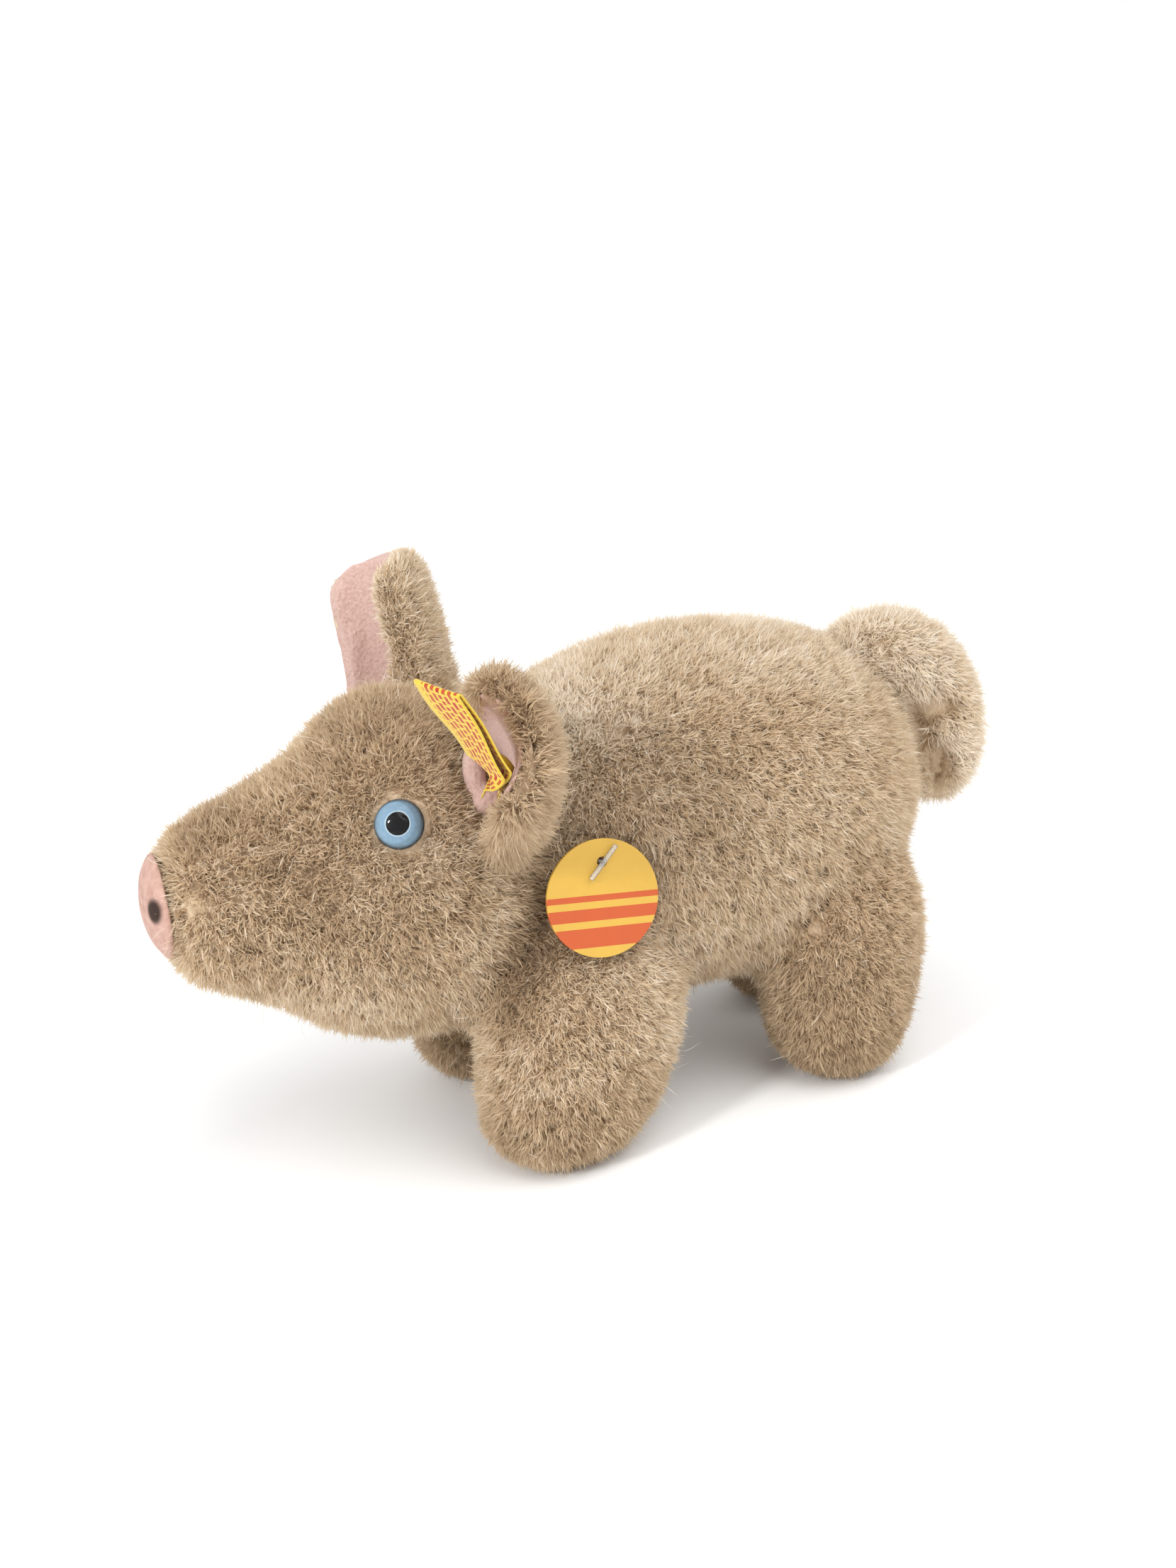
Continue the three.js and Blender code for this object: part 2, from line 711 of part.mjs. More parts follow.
// Hang tag: its frame has +X to the rear, +Y up the card and +Z out of the card
const leanTurn = THREE.MathUtils.degToRad(tagLeanDegrees);
const tagOut = new THREE.Vector3(Math.cos(leanTurn), 0, Math.sin(leanTurn));
const tagUp = tagOut.clone().cross(back);
const tagQuaternion = new THREE.Quaternion().setFromRotationMatrix(
  new THREE.Matrix4().makeBasis(back, tagUp, tagOut),
);
const tagRadius = tagDiameter / 2;
const swingSteps = 8;
const cardCentres = [];
for (let i = 0; i <= swingSteps; i += 1) {
  const degrees = tagSwingDegrees + tagReachDegrees * ((2 * i) / swingSteps - 1);
  const swing = THREE.MathUtils.degToRad(degrees);
  cardCentres.push([tagHoleOffset * Math.sin(swing), -tagHoleOffset * Math.cos(swing)]);
}
// How far out the pig's side stands behind the card, anywhere it can swing
const holePlace = inBody(0, ...tagHoleShares);
const sampleSteps = 120;
let cardBack = -Infinity;
for (const form of [body, legs.front_left_leg, head]) {
  for (let i = 1; i < sampleSteps; i += 1) {
    for (let j = -sampleSteps; j < sampleSteps; j += 1) {
      const spot = formPoint(form, (2 * i) / sampleSteps - 1, ((Math.PI / 2) * j) / sampleSteps);
      spot.sub(holePlace);
      const x = spot.dot(back);
      const y = spot.dot(tagUp);
      const out = spot.dot(tagOut);
      const behind = cardCentres.some(([cx, cy]) => Math.hypot(x - cx, y - cy) < tagRadius);
      if (behind) cardBack = Math.max(cardBack, out);
    }
  }
}
cardBack += seatGap;
const flexPoint = holePlace.clone().addScaledVector(tagOut, cardBack - flexBehindCard);
const flex = addGroup(pig, "tag_lift_pivot", flexPoint, tagQuaternion);
const filamentRadius = filamentDiameter / 2;
const barRadius = barDiameter / 2;
const bar = (length) => rod(barRadius, -length / 2, length / 2, 12).rotateY(Math.PI / 2);
const barHeight = flexBehindCard + tagThickness + seatGap + barRadius;
const outerFilament = solid(rod(filamentRadius, seatGap / 2, barHeight, 12));
const outerBar = solid(
  bar(barLength)
    .rotateZ(THREE.MathUtils.degToRad(barTurnDegrees))
    .translate(0, 0, barHeight),
);
add(flex, "tag_fastener", geometryOf(outerFilament.add(outerBar)), clearPlastic);
const innerFilament = solid(rod(filamentRadius, -anchorLength, -seatGap / 2, 12));
const innerBar = solid(bar(barLength).translate(0, 0, -anchorLength));
add(flex, "tag_anchor", geometryOf(innerFilament.add(innerBar)), clearPlastic);
const filamentHole = rod(filamentRadius + seatGap, -anchorLength, overrun, 12);
const barPocket = new THREE.BoxGeometry(
  barLength + 2 * seatGap,
  barDiameter + 2 * seatGap,
  barDiameter + 2 * seatGap,
).translate(0, 0, -anchorLength);
for (const cutter of [filamentHole, barPocket]) {
  cutSoft(placed(flex, cutter), ["body", "front_left_leg", "head"]);
}

const swingQuaternion = new THREE.Quaternion().setFromAxisAngle(
  up,
  THREE.MathUtils.degToRad(tagSwingDegrees),
);
const cardPlace = new THREE.Vector3(0, 0, flexBehindCard);
const turnPivot = addGroup(flex, "tag_turn_pivot", cardPlace, swingQuaternion);
const card = solid(rod(tagRadius, 0, tagThickness, 48).translate(0, -tagHoleOffset, 0));
const cardHole = solid(rod(tagHoleDiameter / 2, -overrun, overrun, 16));
add(turnPivot, "hang_tag", geometryOf(card.subtract(cardHole)), yellowCard);

// The cut skins and stuffings of the soft forms
for (const name of Object.keys(skins)) {
  add(pig, `${name}_plush`, geometryOf(skins[name]), plush);
  add(pig, `${name}_stuffing`, geometryOf(stuffings[name]), filling);
}

// The whole part, centred over its own feet
const part = new THREE.Group();
part.add(pig);
const extent = new THREE.Box3().setFromObject(pig, true);
const middle = extent.getCenter(new THREE.Vector3());
pig.position.set(-middle.x, -middle.y, -extent.min.z);

export default part;
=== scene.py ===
"""A small standing plush pig: stuffed forms in short pile, felt ears and snout, glossy eyes,
a swinging card on the shoulder and a folded ribbon riveted in one ear. Metres, +Z up."""

import json
import math

import bmesh
import bpy
import numpy as np
from mathutils import Matrix, Quaternion, Vector, noise
from mathutils.bvhtree import BVHTree


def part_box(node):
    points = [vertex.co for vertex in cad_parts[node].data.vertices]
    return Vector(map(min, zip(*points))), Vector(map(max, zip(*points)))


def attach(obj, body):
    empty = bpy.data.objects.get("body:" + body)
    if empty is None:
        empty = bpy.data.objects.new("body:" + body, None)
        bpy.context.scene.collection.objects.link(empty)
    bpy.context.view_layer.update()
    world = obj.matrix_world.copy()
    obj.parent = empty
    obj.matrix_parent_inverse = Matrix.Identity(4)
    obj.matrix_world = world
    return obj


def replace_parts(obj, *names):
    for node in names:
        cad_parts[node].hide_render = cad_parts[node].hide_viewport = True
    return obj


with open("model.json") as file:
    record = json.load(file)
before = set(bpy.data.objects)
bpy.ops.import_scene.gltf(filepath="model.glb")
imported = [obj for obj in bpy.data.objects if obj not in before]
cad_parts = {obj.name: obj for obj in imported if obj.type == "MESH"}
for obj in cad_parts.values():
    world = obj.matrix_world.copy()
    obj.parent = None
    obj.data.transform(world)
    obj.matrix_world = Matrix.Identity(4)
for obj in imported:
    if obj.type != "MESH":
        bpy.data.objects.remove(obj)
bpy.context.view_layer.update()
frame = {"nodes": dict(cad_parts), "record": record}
nodes = frame["nodes"]
joints = {joint["name"]: joint for joint in frame["record"]["behaviour"]["joints"]}
MM = 0.001

# The camera stands at the pig's left front, a little above its back, and leans slightly to the
# right: the place that the photograph was taken from.
PHOTO_HEIGHT = 2212
FOCAL_PIXELS = 2381
SENSOR = 36
CAMERA_AZIMUTH = 68.6
CAMERA_ELEVATION = 17.1
CAMERA_ROLL = math.radians(-4.9)
CAMERA_DISTANCE = 382.9 * MM
CAMERA_TARGET = Vector((-8.0, -1.0, 75.2)) * MM


def add_object(name, data):
    """A new object that holds this data, put in the scene."""
    thing = bpy.data.objects.new(name, data)
    bpy.context.scene.collection.objects.link(thing)
    return thing


def way_out(azimuth, elevation):
    """The way out from the pig at these degrees. Azimuth 0 is its front, 90 its left side."""
    a, e = math.radians(azimuth), math.radians(elevation)
    return Vector((math.sin(a) * math.cos(e), -math.cos(a) * math.cos(e), math.sin(e)))


towards_camera = way_out(CAMERA_AZIMUTH, CAMERA_ELEVATION)
camera_data = bpy.data.cameras.new("camera")
camera_data.sensor_width = SENSOR
camera_data.lens = FOCAL_PIXELS / PHOTO_HEIGHT * SENSOR
camera = add_object("camera", camera_data)
camera.rotation_mode = "QUATERNION"
camera.location = CAMERA_TARGET + towards_camera * CAMERA_DISTANCE
facing = (-towards_camera).to_track_quat("-Z", "Y")
camera.rotation_quaternion = facing @ Quaternion((0, 0, 1), CAMERA_ROLL)
bpy.context.scene.camera = camera

# Skins: the woven backing of each sewn part, a wall that is open at its root and stuffed. Each
# takes the CAD wall's form, evened out, with its outer face drawn in by the depth of the pile,
# and deeper along the tail's creases.
PILE_DEPTH = 2.8 * MM
TIGHT_SPACE = 1.0 * MM
FREE_SPACE = 5.0 * MM
FREE_FROM = 0.9
SHARE_AVERAGINGS = 3
JOIN_WITHIN = MM / 1000
SKIN_VOXEL = 2.2 * MM
EAR_VOXEL = 1.4 * MM
SKIN_SMOOTHINGS = 10
SOFT_PARTS = (
    "body",
    "head",
    "front_left_leg",
    "front_right_leg",
    "rear_left_leg",
    "rear_right_leg",
    "tail",
)
EARS = ("left_ear", "right_ear")
HANGING = ("hang_tag", "tag_fastener", "tag_anchor", "ear_flag", "ear_button", "ear_button_plate")
CREASE_REACH = 5.5 * MM
CREASES = (
    ((-2.0, 77.5, 80.5), (1.0, 80.5, 79.6), (4.0, 84.5, 80.0), (5.5, 88.0, 80.5)),
    ((-1.0, 80.0, 79.5), (0.0, 80.5, 74.0), (0.5, 80.8, 68.0)),
    ((2.2, 84.2, 68.0), (3.2, 85.0, 63.0), (2.0, 85.5, 57.5)),
)
CREASE_DEPTH = 4.6 * MM


def merged_copy(node):
    """A bmesh of a CAD node with its loose triangles joined at their corners."""
    bm = bmesh.new()
    bm.from_mesh(nodes[node].data)
    bmesh.ops.remove_doubles(bm, verts=bm.verts, dist=JOIN_WITHIN)
    return bm


def new_piece(name, mesh, material, body="pig"):
    """Puts a finished mesh in the scene under its name, material and CAD body."""
    piece = add_object(name, mesh)
    if not mesh.materials:
        mesh.materials.append(material)
    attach(piece, body)
    return piece


def mesh_of(bm, name):
    """The mesh of a bmesh, shaded smooth. The bmesh is freed."""
    mesh = bpy.data.meshes.new(name)
    bm.to_mesh(mesh)
    bm.free()
    mesh.shade_smooth()
    return mesh


def evened(bm, voxel):
    """The closed shells of a bmesh as one mesh of small, even faces. The bmesh is freed."""
    rough = mesh_of(bm, "rough")
    holder = add_object("rough", rough)
    remesh = holder.modifiers.new("even", "REMESH")
    remesh.mode = "VOXEL"
    remesh.voxel_size = voxel
    shaped = holder.evaluated_get(bpy.context.evaluated_depsgraph_get())
    even = bpy.data.meshes.new_from_object(shaped)
    bpy.data.objects.remove(holder)
    bpy.data.meshes.remove(rough)
    return even


def bmesh_of(*meshes):
    """One bmesh that holds all these meshes."""
    bm = bmesh.new()
    for mesh in meshes:
        bm.from_mesh(mesh)
    bm.normal_update()
    return bm


def relax(bm, verts, times):
    """Smooths these vertices so many times."""
    for _ in range(times):
        bmesh.ops.smooth_vert(
            bm, verts=verts, factor=0.5, use_axis_x=True, use_axis_y=True, use_axis_z=True
        )
    bm.normal_update()


def tree_of(meshes):
    """A tree of all the faces of these meshes, for measuring distances to them."""
    points, faces = [], []
    for mesh in meshes:
        start = len(points)
        points += [v.co.copy() for v in mesh.vertices]
        faces += [[start + i for i in p.vertices] for p in mesh.polygons]
    return BVHTree.FromPolygons(points, faces)


def free_share(tree, point, normal):
    """How free the space over a wall is: 0 where a neighbour touches it, 1 in the open."""
    start = point + normal * (MM / 10)
    distance = tree.ray_cast(start, normal, FREE_SPACE)[3]
    if distance is None:
        return 1.0
    return max(0.0, (distance - TIGHT_SPACE) / (FREE_SPACE - TIGHT_SPACE))


def spread_out(bm, share):
    """The vertices' shares, averaged with those of their neighbours."""
    return [
        (share[v.index] + sum(share[e.other_vert(v).index] for e in v.link_edges))
        / (1 + len(v.link_edges))
        for v in bm.verts
    ]


def eased(value):
    """0 up to 0, 1 from 1 on, and an even rise between them."""
    t = max(0.0, min(1.0, value))
    return t * t * (3 - 2 * t)


def crease_share(point, lines=CREASES, reach=CREASE_REACH):
    """1 on these creases, the tail's if none are given, and 0 further away than their reach."""
    nearest = reach
    for line in lines:
        for a, b in zip(line, line[1:]):
            start, way = Vector(a) * MM, (Vector(b) - Vector(a)) * MM
            along = max(0.0, min(1.0, (point - start).dot(way) / way.length_squared))
            nearest = min(nearest, (point - start - way * along).length)
    return eased(1 - nearest / reach)


def feed(tree, node, *values, **named):
    """Feeds a node's inputs in their order, and then by name, with an underscore for a space.
    Each input is joined to the output of another node, or set to a plain value."""
    fed = [*zip(node.inputs, values)]
    fed += [(node.inputs[name.replace("_", " ")], value) for name, value in named.items()]
    for socket, value in fed:
        if isinstance(value, bpy.types.NodeSocket):
            tree.links.new(value, socket)
        else:
            socket.default_value = value
    return node


def add_node(tree, kind, *values, operation="", **named):
    """A new shader node with its inputs fed."""
    node = tree.nodes.new("ShaderNode" + kind)
    if operation:
        node.operation = operation
    return feed(tree, node, *values, **named)


def add_ramp(tree, factor, *stops):
    """A colour ramp run through by a factor. Each stop is a place and a colour."""
    node = add_node(tree, "ValToRGB", factor)
    first, last = node.color_ramp.elements
    first.position, first.color = stops[0]
    last.position, last.color = stops[-1]
    for place, color in stops[1:-1]:
        node.color_ramp.elements.new(place).color = color
    return node


def new_material(name, **finish):
    """A new material, its node tree, and its shader with this finish."""
    material = bpy.data.materials.new(name)
    material.use_nodes = True
    tree = material.node_tree
    return material, tree, feed(tree, tree.nodes["Principled BSDF"], **finish)


def noisy_material(name, dark, pale, grain, bump, roughness=0.95, sheen=0.3, specular=0.2):
    """A material whose colour and height vary by noise on Object coordinates. grain is in
    repeats to the metre."""
    material, tree, shader = new_material(
        name,
        Roughness=roughness,
        Specular_IOR_Level=specular,
        Sheen_Weight=sheen,
        Sheen_Roughness=0.5,
    )
    place = add_node(tree, "TexCoord").outputs["Object"]
    grains = add_node(tree, "TexNoise", place, Scale=grain, Detail=6).outputs["Fac"]
    tone = add_ramp(tree, grains, (0.32, dark), (0.68, pale))
    tone.name = "tone"
    height = add_node(tree, "Bump", Strength=bump, Distance=MM / 2, Height=grains)
    feed(tree, shader, Base_Color=tone.outputs["Color"], Normal=height.outputs["Normal"])
    return material


soft_walls = tree_of([nodes[n].data for n in nodes if n not in HANGING])
backing = noisy_material(
    "woven_backing", (0.56, 0.43, 0.29, 1), (0.70, 0.55, 0.39, 1), 900, 0.6
)
ear_surfaces = {}
for part in SOFT_PARTS + EARS:
    is_ear = part in EARS
    bm = bmesh_of(evened(merged_copy(part + "_plush"), EAR_VOXEL if is_ear else SKIN_VOXEL))
    share = [free_share(soft_walls, v.co, v.normal) for v in bm.verts]
    relax(bm, [v for v, s in zip(bm.verts, share) if s > FREE_FROM], SKIN_SMOOTHINGS)
    for _ in range(SHARE_AVERAGINGS):
        share = spread_out(bm, share)
    if is_ear:
        surface = bpy.data.meshes.new(part + "_surface")
        bm.to_mesh(surface)
        ear_surfaces[part] = (surface, np.array(share))
    for v, s in zip(bm.verts, share):
        sunk = CREASE_DEPTH * crease_share(v.co) if part == "tail" else 0
        v.co -= v.normal * (PILE_DEPTH + sunk) * s
    skin = new_piece(part + "_skin", mesh_of(bm, part + "_skin"), backing)
    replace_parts(skin, part + "_plush")

# Felt: the pink brushed linings of the ears and the domed pad of the snout. The right lining is
# turned over the ear's outer rim and keeps a soft fold, and the left one ends in two small tucks
# at its root.
FELT_VOXEL = 0.5 * MM
RIM_REACH = 7.5 * MM
RIM_DROP = 0.4 * MM
RIM_THICKNESS = 2.0 * MM
RIM_INNER_X = -34 * MM
RIM_FACING = -0.15
EAR_FOLD = (
    (-52.5, -41.9, 121.7),
    (-50.6, -39.8, 114.2),
    (-49.3, -38.7, 107.7),
    (-48.6, -38.2, 101.0),
)
EAR_FOLD_REACH = 2.2 * MM
EAR_FOLD_DEPTH = 1.0 * MM
RIM_FILLER = ((-50.6, -40.4, 98.5), (2.2, 2.0, 13.0))
LEFT_TUCKS = (
    ((17.4, -35.6, 91.0), (2.6, 2.4, 6.2)),
    ((19.4, -33.6, 85.2), (2.6, 3.6, 3.2)),
)
SNOUT_SPREAD = (1.22, 1, 1.16)
SNOUT_SHIFT = Vector((0, -1.3 * MM, 1.4 * MM))
SNOUT_DOME = 2.4 * MM
SNOUT_DOME_POWER = 2.4
SNOUT_SMOOTHINGS = 3
RIGHT_SMOOTHINGS = 4
LEFT_SMOOTHINGS = 9
NOSTRIL_SIDE = 7.8 * MM
NOSTRIL_RISE = 3.2 * MM
NOSTRIL_HALF = (2.1 * MM, 2.7 * MM)
NOSTRIL_FADE = (0.35, 1.5)
NOSTRIL_BROWN = (0.035, 0.018, 0.012, 1)


def turned_rim(node, surface, front):
    """A thin shell over the outer part of an ear's rim that faces front beside its lining."""
    lining = tree_of([nodes[node].data])
    bm = bmesh_of(surface)
    away = [
        f
        for f in bm.faces
        if f.normal.dot(front) < RIM_FACING
        or f.calc_center_median().x > RIM_INNER_X
        or lining.find_nearest(f.calc_center_median(), RIM_REACH)[3] is None
    ]
    bmesh.ops.delete(bm, geom=away, context="FACES")
    for v in bm.verts:
        v.co -= v.normal * RIM_DROP
    bmesh.ops.solidify(bm, geom=bm.faces, thickness=RIM_THICKNESS)
    return mesh_of(bm, node + "_rim")


def ball(centre, radii):
    """A closed ellipsoid. Both are in millimetres."""
    bm = bmesh.new()
    bmesh.ops.create_uvsphere(bm, u_segments=24, v_segments=12, radius=1)
    for v in bm.verts:
        v.co = (Vector(centre) + Vector(c * r for c, r in zip(v.co, radii))) * MM
    return mesh_of(bm, "ball")


def felt_piece(name, node, extras, smoothings):
    """A felt piece from a CAD node and the meshes that are joined to it."""
    cut = mesh_of(merged_copy(node), node + "_cut")
    bm = bmesh_of(evened(bmesh_of(cut, *extras), FELT_VOXEL))
    relax(bm, bm.verts, smoothings)
    solid = mesh_of(bm, name)
    piece = new_piece(name, solid, felt)
    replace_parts(piece, node)
    return solid


felt = noisy_material(
    "pink_felt", (0.53, 0.35, 0.305, 1), (0.65, 0.455, 0.40, 1), 1300, 0.9, sheen=0.1
)
image_left = towards_camera.cross(Vector((0, 0, 1))).normalized()
rim = turned_rim("right_ear_lining", ear_surfaces["right_ear"][0], image_left)
rim_filler = ball(*RIM_FILLER)
tucks = [ball(centre, radii) for centre, radii in LEFT_TUCKS]
felts = [
    felt_piece(
        "right_ear_felt", "right_ear_lining", [rim, rim_filler], RIGHT_SMOOTHINGS
    ),
    felt_piece("left_ear_felt", "left_ear_lining", tucks, LEFT_SMOOTHINGS),
]
for v in felts[0].vertices:
    v.co -= image_left * EAR_FOLD_DEPTH * crease_share(v.co, [EAR_FOLD], EAR_FOLD_REACH)

snout_low, snout_high = (Vector(corner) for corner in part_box("snout_disc"))
snout_middle = (snout_low + snout_high) / 2
snout_half = (snout_high - snout_low) / 2
snout = felt_piece("snout_felt", "snout_disc", [], SNOUT_SMOOTHINGS)
for v in snout.vertices:
    across = v.co - snout_middle
    share = math.hypot(across.x / snout_half.x, across.z / snout_half.z)
    v.co = snout_middle + Vector(c * s for c, s in zip(across, SNOUT_SPREAD)) + SNOUT_SHIFT
    v.co.y += SNOUT_DOME * share**SNOUT_DOME_POWER


def math_node(tree, operation, *values):
    """What a math node makes of these sockets or numbers."""
    return add_node(tree, "Math", *values, operation=operation).outputs["Value"]


def mixed_color(tree, factor, a, b, blend="MIX"):
    """Two colours mixed by a factor."""
    mix = tree.nodes.new("ShaderNodeMix")
    mix.data_type = "RGBA"
    mix.blend_type = blend
    return feed(tree, mix, Factor=factor, A=a, B=b).outputs["Result"]


snout_pink = noisy_material(
    "snout_felt", (0.43, 0.255, 0.205, 1), (0.56, 0.36, 0.30, 1), 500, 0.5, sheen=0.1
)
tree = snout_pink.node_tree
place = add_node(tree, "SeparateXYZ", add_node(tree, "TexCoord").outputs["Object"]).outputs
aside = math_node(tree, "ABSOLUTE", math_node(tree, "SUBTRACT", place["X"], snout_middle.x))
aside = math_node(tree, "SUBTRACT", aside, NOSTRIL_SIDE)
above = math_node(tree, "SUBTRACT", place["Z"], snout_middle.z + NOSTRIL_RISE)
shares = [math_node(tree, "DIVIDE", *pair) for pair in zip((aside, above), NOSTRIL_HALF)]
squares = [math_node(tree, "MULTIPLY", share, share) for share in shares]
stain = add_node(tree, "MapRange", math_node(tree, "ADD", *squares), *NOSTRIL_FADE, 1, 0)
stain.interpolation_type = "SMOOTHSTEP"
pink = tree.nodes["tone"].outputs["Color"]
stained = mixed_color(tree, stain.outputs["Result"], pink, NOSTRIL_BROWN)
feed(tree, tree.nodes["Principled BSDF"], Base_Color=stained)
snout.materials.clear()
snout.materials.append(snout_pink)

# Eyes: a clear polished dome over a slightly bulged disc, which is painted with a blue iris, a
# thin pale ring and a black pupil. The shank and the washer behind them are the CAD nodes.
PUPIL_SHARE = 0.47
RING_SHARE = 0.50
IRIS_BULGE = 0.55
DISC_SHARE = 0.985
CURVE_SHARE = 0.96
ROUND_STEPS = 56
DOME_STEPS = 14
DISC_STEPS = 8
MAP_RADIUS = 0.48
PUPIL_BLACK = (0.004, 0.004, 0.005, 1)


def middle_of(node):
    """The mean of a CAD node's corners, which lies on the axis of a round node."""
    bm = merged_copy(node)
    middle = sum((v.co for v in bm.verts), Vector()) / len(bm.verts)
    bm.free()
    return middle


def span_on(node, axis):
    """How far a CAD node reaches along an axis: its lowest and highest place."""
    places = [v.co.dot(axis) for v in nodes[node].data.vertices]
    return min(places), max(places)


def spun(name, profile, steps, base, axis):
    """A closed round mesh from a profile of (radius, height) turned about an axis through base."""
    bm = bmesh.new()
    corners = [bm.verts.new((radius, 0, height)) for radius, height in profile]
    edges = [bm.edges.new(pair) for pair in zip(corners, corners[1:])]
    bmesh.ops.spin(
        bm,
        geom=corners + edges,
        cent=(0, 0, 0),
        axis=(0, 0, 1),
        angle=2 * math.pi,
        steps=steps,
        use_merge=True,
    )
    bmesh.ops.remove_doubles(bm, verts=bm.verts, dist=JOIN_WITHIN)
    layer = bm.loops.layers.uv.new("OFBake")
    widest = max(radius for radius, _ in profile)
    for face in bm.faces:
        for loop in face.loops:
            loop[layer].uv = [0.5 + MAP_RADIUS * c / widest for c in loop.vert.co.xy]
    turn = axis.to_track_quat("Z", "Y").to_matrix().to_4x4()
    bmesh.ops.transform(bm, matrix=Matrix.Translation(base) @ turn, verts=bm.verts)
    bmesh.ops.recalc_face_normals(bm, faces=bm.faces)
    return mesh_of(bm, name)


def arched(radius, height, foot, steps):
    """The profile of a round cap of this radius and height, from its top down to its foot."""
    angles = (math.pi / 2 * i / steps for i in range(steps + 1))
    return [(radius * math.sin(a), foot + height * math.cos(a)) for a in angles]


def clear_material(name, seen_through, gloss, ior):
    """Clear plastic: what is behind shows through, under a mirror gloss that grows at the rim."""
    material, tree, shader = new_material(name)
    tree.nodes.remove(shader)
    body = add_node(tree, "BsdfDiffuse", (0.9, 0.9, 0.88, 1)).outputs["BSDF"]
    clear = add_node(tree, "BsdfTransparent").outputs["BSDF"]
    inner = add_node(tree, "MixShader", seen_through, body, clear).outputs["Shader"]
    shine = add_node(tree, "BsdfGlossy", Roughness=gloss).outputs["BSDF"]
    edge = add_node(tree, "Fresnel", ior).outputs["Fac"]
    both = add_node(tree, "MixShader", edge, inner, shine).outputs["Shader"]
    feed(tree, tree.nodes["Material Output"], both)
    return material


def own_map(tree):
    """The place on the piece's own map."""
    place = tree.nodes.new("ShaderNodeUVMap")
    place.uv_map = "OFBake"
    return place.outputs["UV"]


def iris_material():
    """Blue paint round a black pupil, by distance from the middle of the disc's map."""
    material, tree, shader = new_material("iris_paint", Roughness=0.35, Specular_IOR_Level=0.06)
    place = own_map(tree)
    from_middle = add_node(tree, "VectorMath", place, (0.5, 0.5, 0), operation="SUBTRACT")
    length = add_node(tree, "VectorMath", from_middle.outputs["Vector"], operation="LENGTH")
    bands = add_ramp(
        tree,
        math_node(tree, "DIVIDE", length.outputs["Value"], MAP_RADIUS),
        (0, PUPIL_BLACK),
        (PUPIL_SHARE - 0.01, PUPIL_BLACK),
        (PUPIL_SHARE, (0.42, 0.53, 0.60, 1)),
        (RING_SHARE, (0.38, 0.50, 0.58, 1)),
        (RING_SHARE + 0.03, (0.20, 0.32, 0.44, 1)),
        (0.85, (0.26, 0.40, 0.52, 1)),
        (1, (0.06, 0.10, 0.15, 1)),
    )
    streaks = add_node(tree, "TexNoise", place, Scale=14).outputs["Fac"]
    level = add_node(tree, "MapRange", streaks, To_Min=0.8, To_Max=1.15).outputs["Result"]
    streaked = add_node(
        tree, "VectorMath", bands.outputs["Color"], Scale=level, operation="SCALE"
    )
    feed(tree, shader, Base_Color=streaked.outputs["Vector"])
    return material


def eye_piece(node, ending, profile, base, axis, material):
    """A turned piece of an eye in its CAD node's place."""
    mesh = spun(node + ending, profile, ROUND_STEPS, base, axis)
    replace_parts(new_piece(node + ending, mesh, material), node)


eye_clear = clear_material("eye_clear", 1.0, 0.02, 1.3)
iris_paint = iris_material()
eyes = []
for side in ("left", "right"):
    lens, iris = side + "_eye_lens", side + "_eye_iris"
    seat = middle_of(lens)
    axis = (seat - middle_of(side + "_eye_shank")).normalized()
    seat -= axis * seat.dot(axis)
    radius = max((v.co - seat - axis * v.co.dot(axis)).length for v in nodes[lens].data.vertices)
    low, high = span_on(lens, axis)
    dome = [*arched(radius, high - low, 0, DOME_STEPS), (0, 0)]
    eye_piece(lens, "_dome", dome, seat + axis * low, axis, eye_clear)
    bulge = IRIS_BULGE * (high - low)
    low, high = span_on(iris, axis)
    disc = arched(radius * CURVE_SHARE, bulge, high - low, DISC_STEPS)
    disc += [(radius * DISC_SHARE, 0), (0, 0)]
    eye_piece(iris, "_paint", disc, seat + axis * low, axis, iris_paint)
    eyes.append((np.array(seat + axis * low), np.array(axis), radius))

# Pile: short dense fibres that stand on the skins in small tufts and lean the way they were
# brushed. Every fibre is a bent blade of two faces; a tuft shares a lean, a length and a tone.
# The pile closes over the seams, is clipped at the right ear's felt, leans over the other felts'
# rims, parts round the eyes and is pressed under the card.
COAT_VOXEL = 2.0 * MM
COAT_SMOOTHINGS = 8
OPEN_FROM = 0.08
TUFT_RADIUS = 1.05 * MM
TUFT_FIBRES = 10
FIBRES_PER_MM2 = 11.0
FIBRE_LENGTH = 4.2 * MM
FIBRE_WIDTH = 0.32 * MM
FIBRE_SPREAD = 0.16
FIBRE_LENGTHS = (0.55, 1.5)
FIBRE_WIDTHS = (0.6, 1.3)
FIBRE_STRAY = 0.2
FIBRE_TONES = 0.08
KNEE_LEAN = 0.5
TIP_LEAN = 1.1
KNEE_GATHER = 0.2
TIP_GATHER = 0.35
TUFT_STRAY = 0.38
TUFT_LENGTHS = (0.85, 1.15)
TUFT_LEANS = (0.5, 1.3)
TUFT_TONES = 0.06
PRESSED_SHARE = 0.6
PRESSED_DEPTH = 0.35
ROOM_SHARE = 0.6
ROOM_SPARE = 0.3 * MM
SEAM_CLEARANCE = 0.8 * MM
CLIP_REACH = 3.5 * MM
CLIPPED_SHARE = 0.45
RIM_CLEARANCE = 0.35 * MM
RIM_LEAN_REACH = 2.2 * MM
RIM_LEAN = 0.7
NECK_FOLD = ((18.1, -24.6, 62), (19.6, -29.0, 51.0), (23.6, -35.0, 41.0))
NECK_FOLD_REACH = 9 * MM
# A paler patch of pile behind the near ear: painted light over the shade that falls there.
NAPE_PAINTED_LIGHT = np.array((0.012, -0.018, 0.098))
NAPE_PAINTED_LIGHT_REACH = 18 * MM
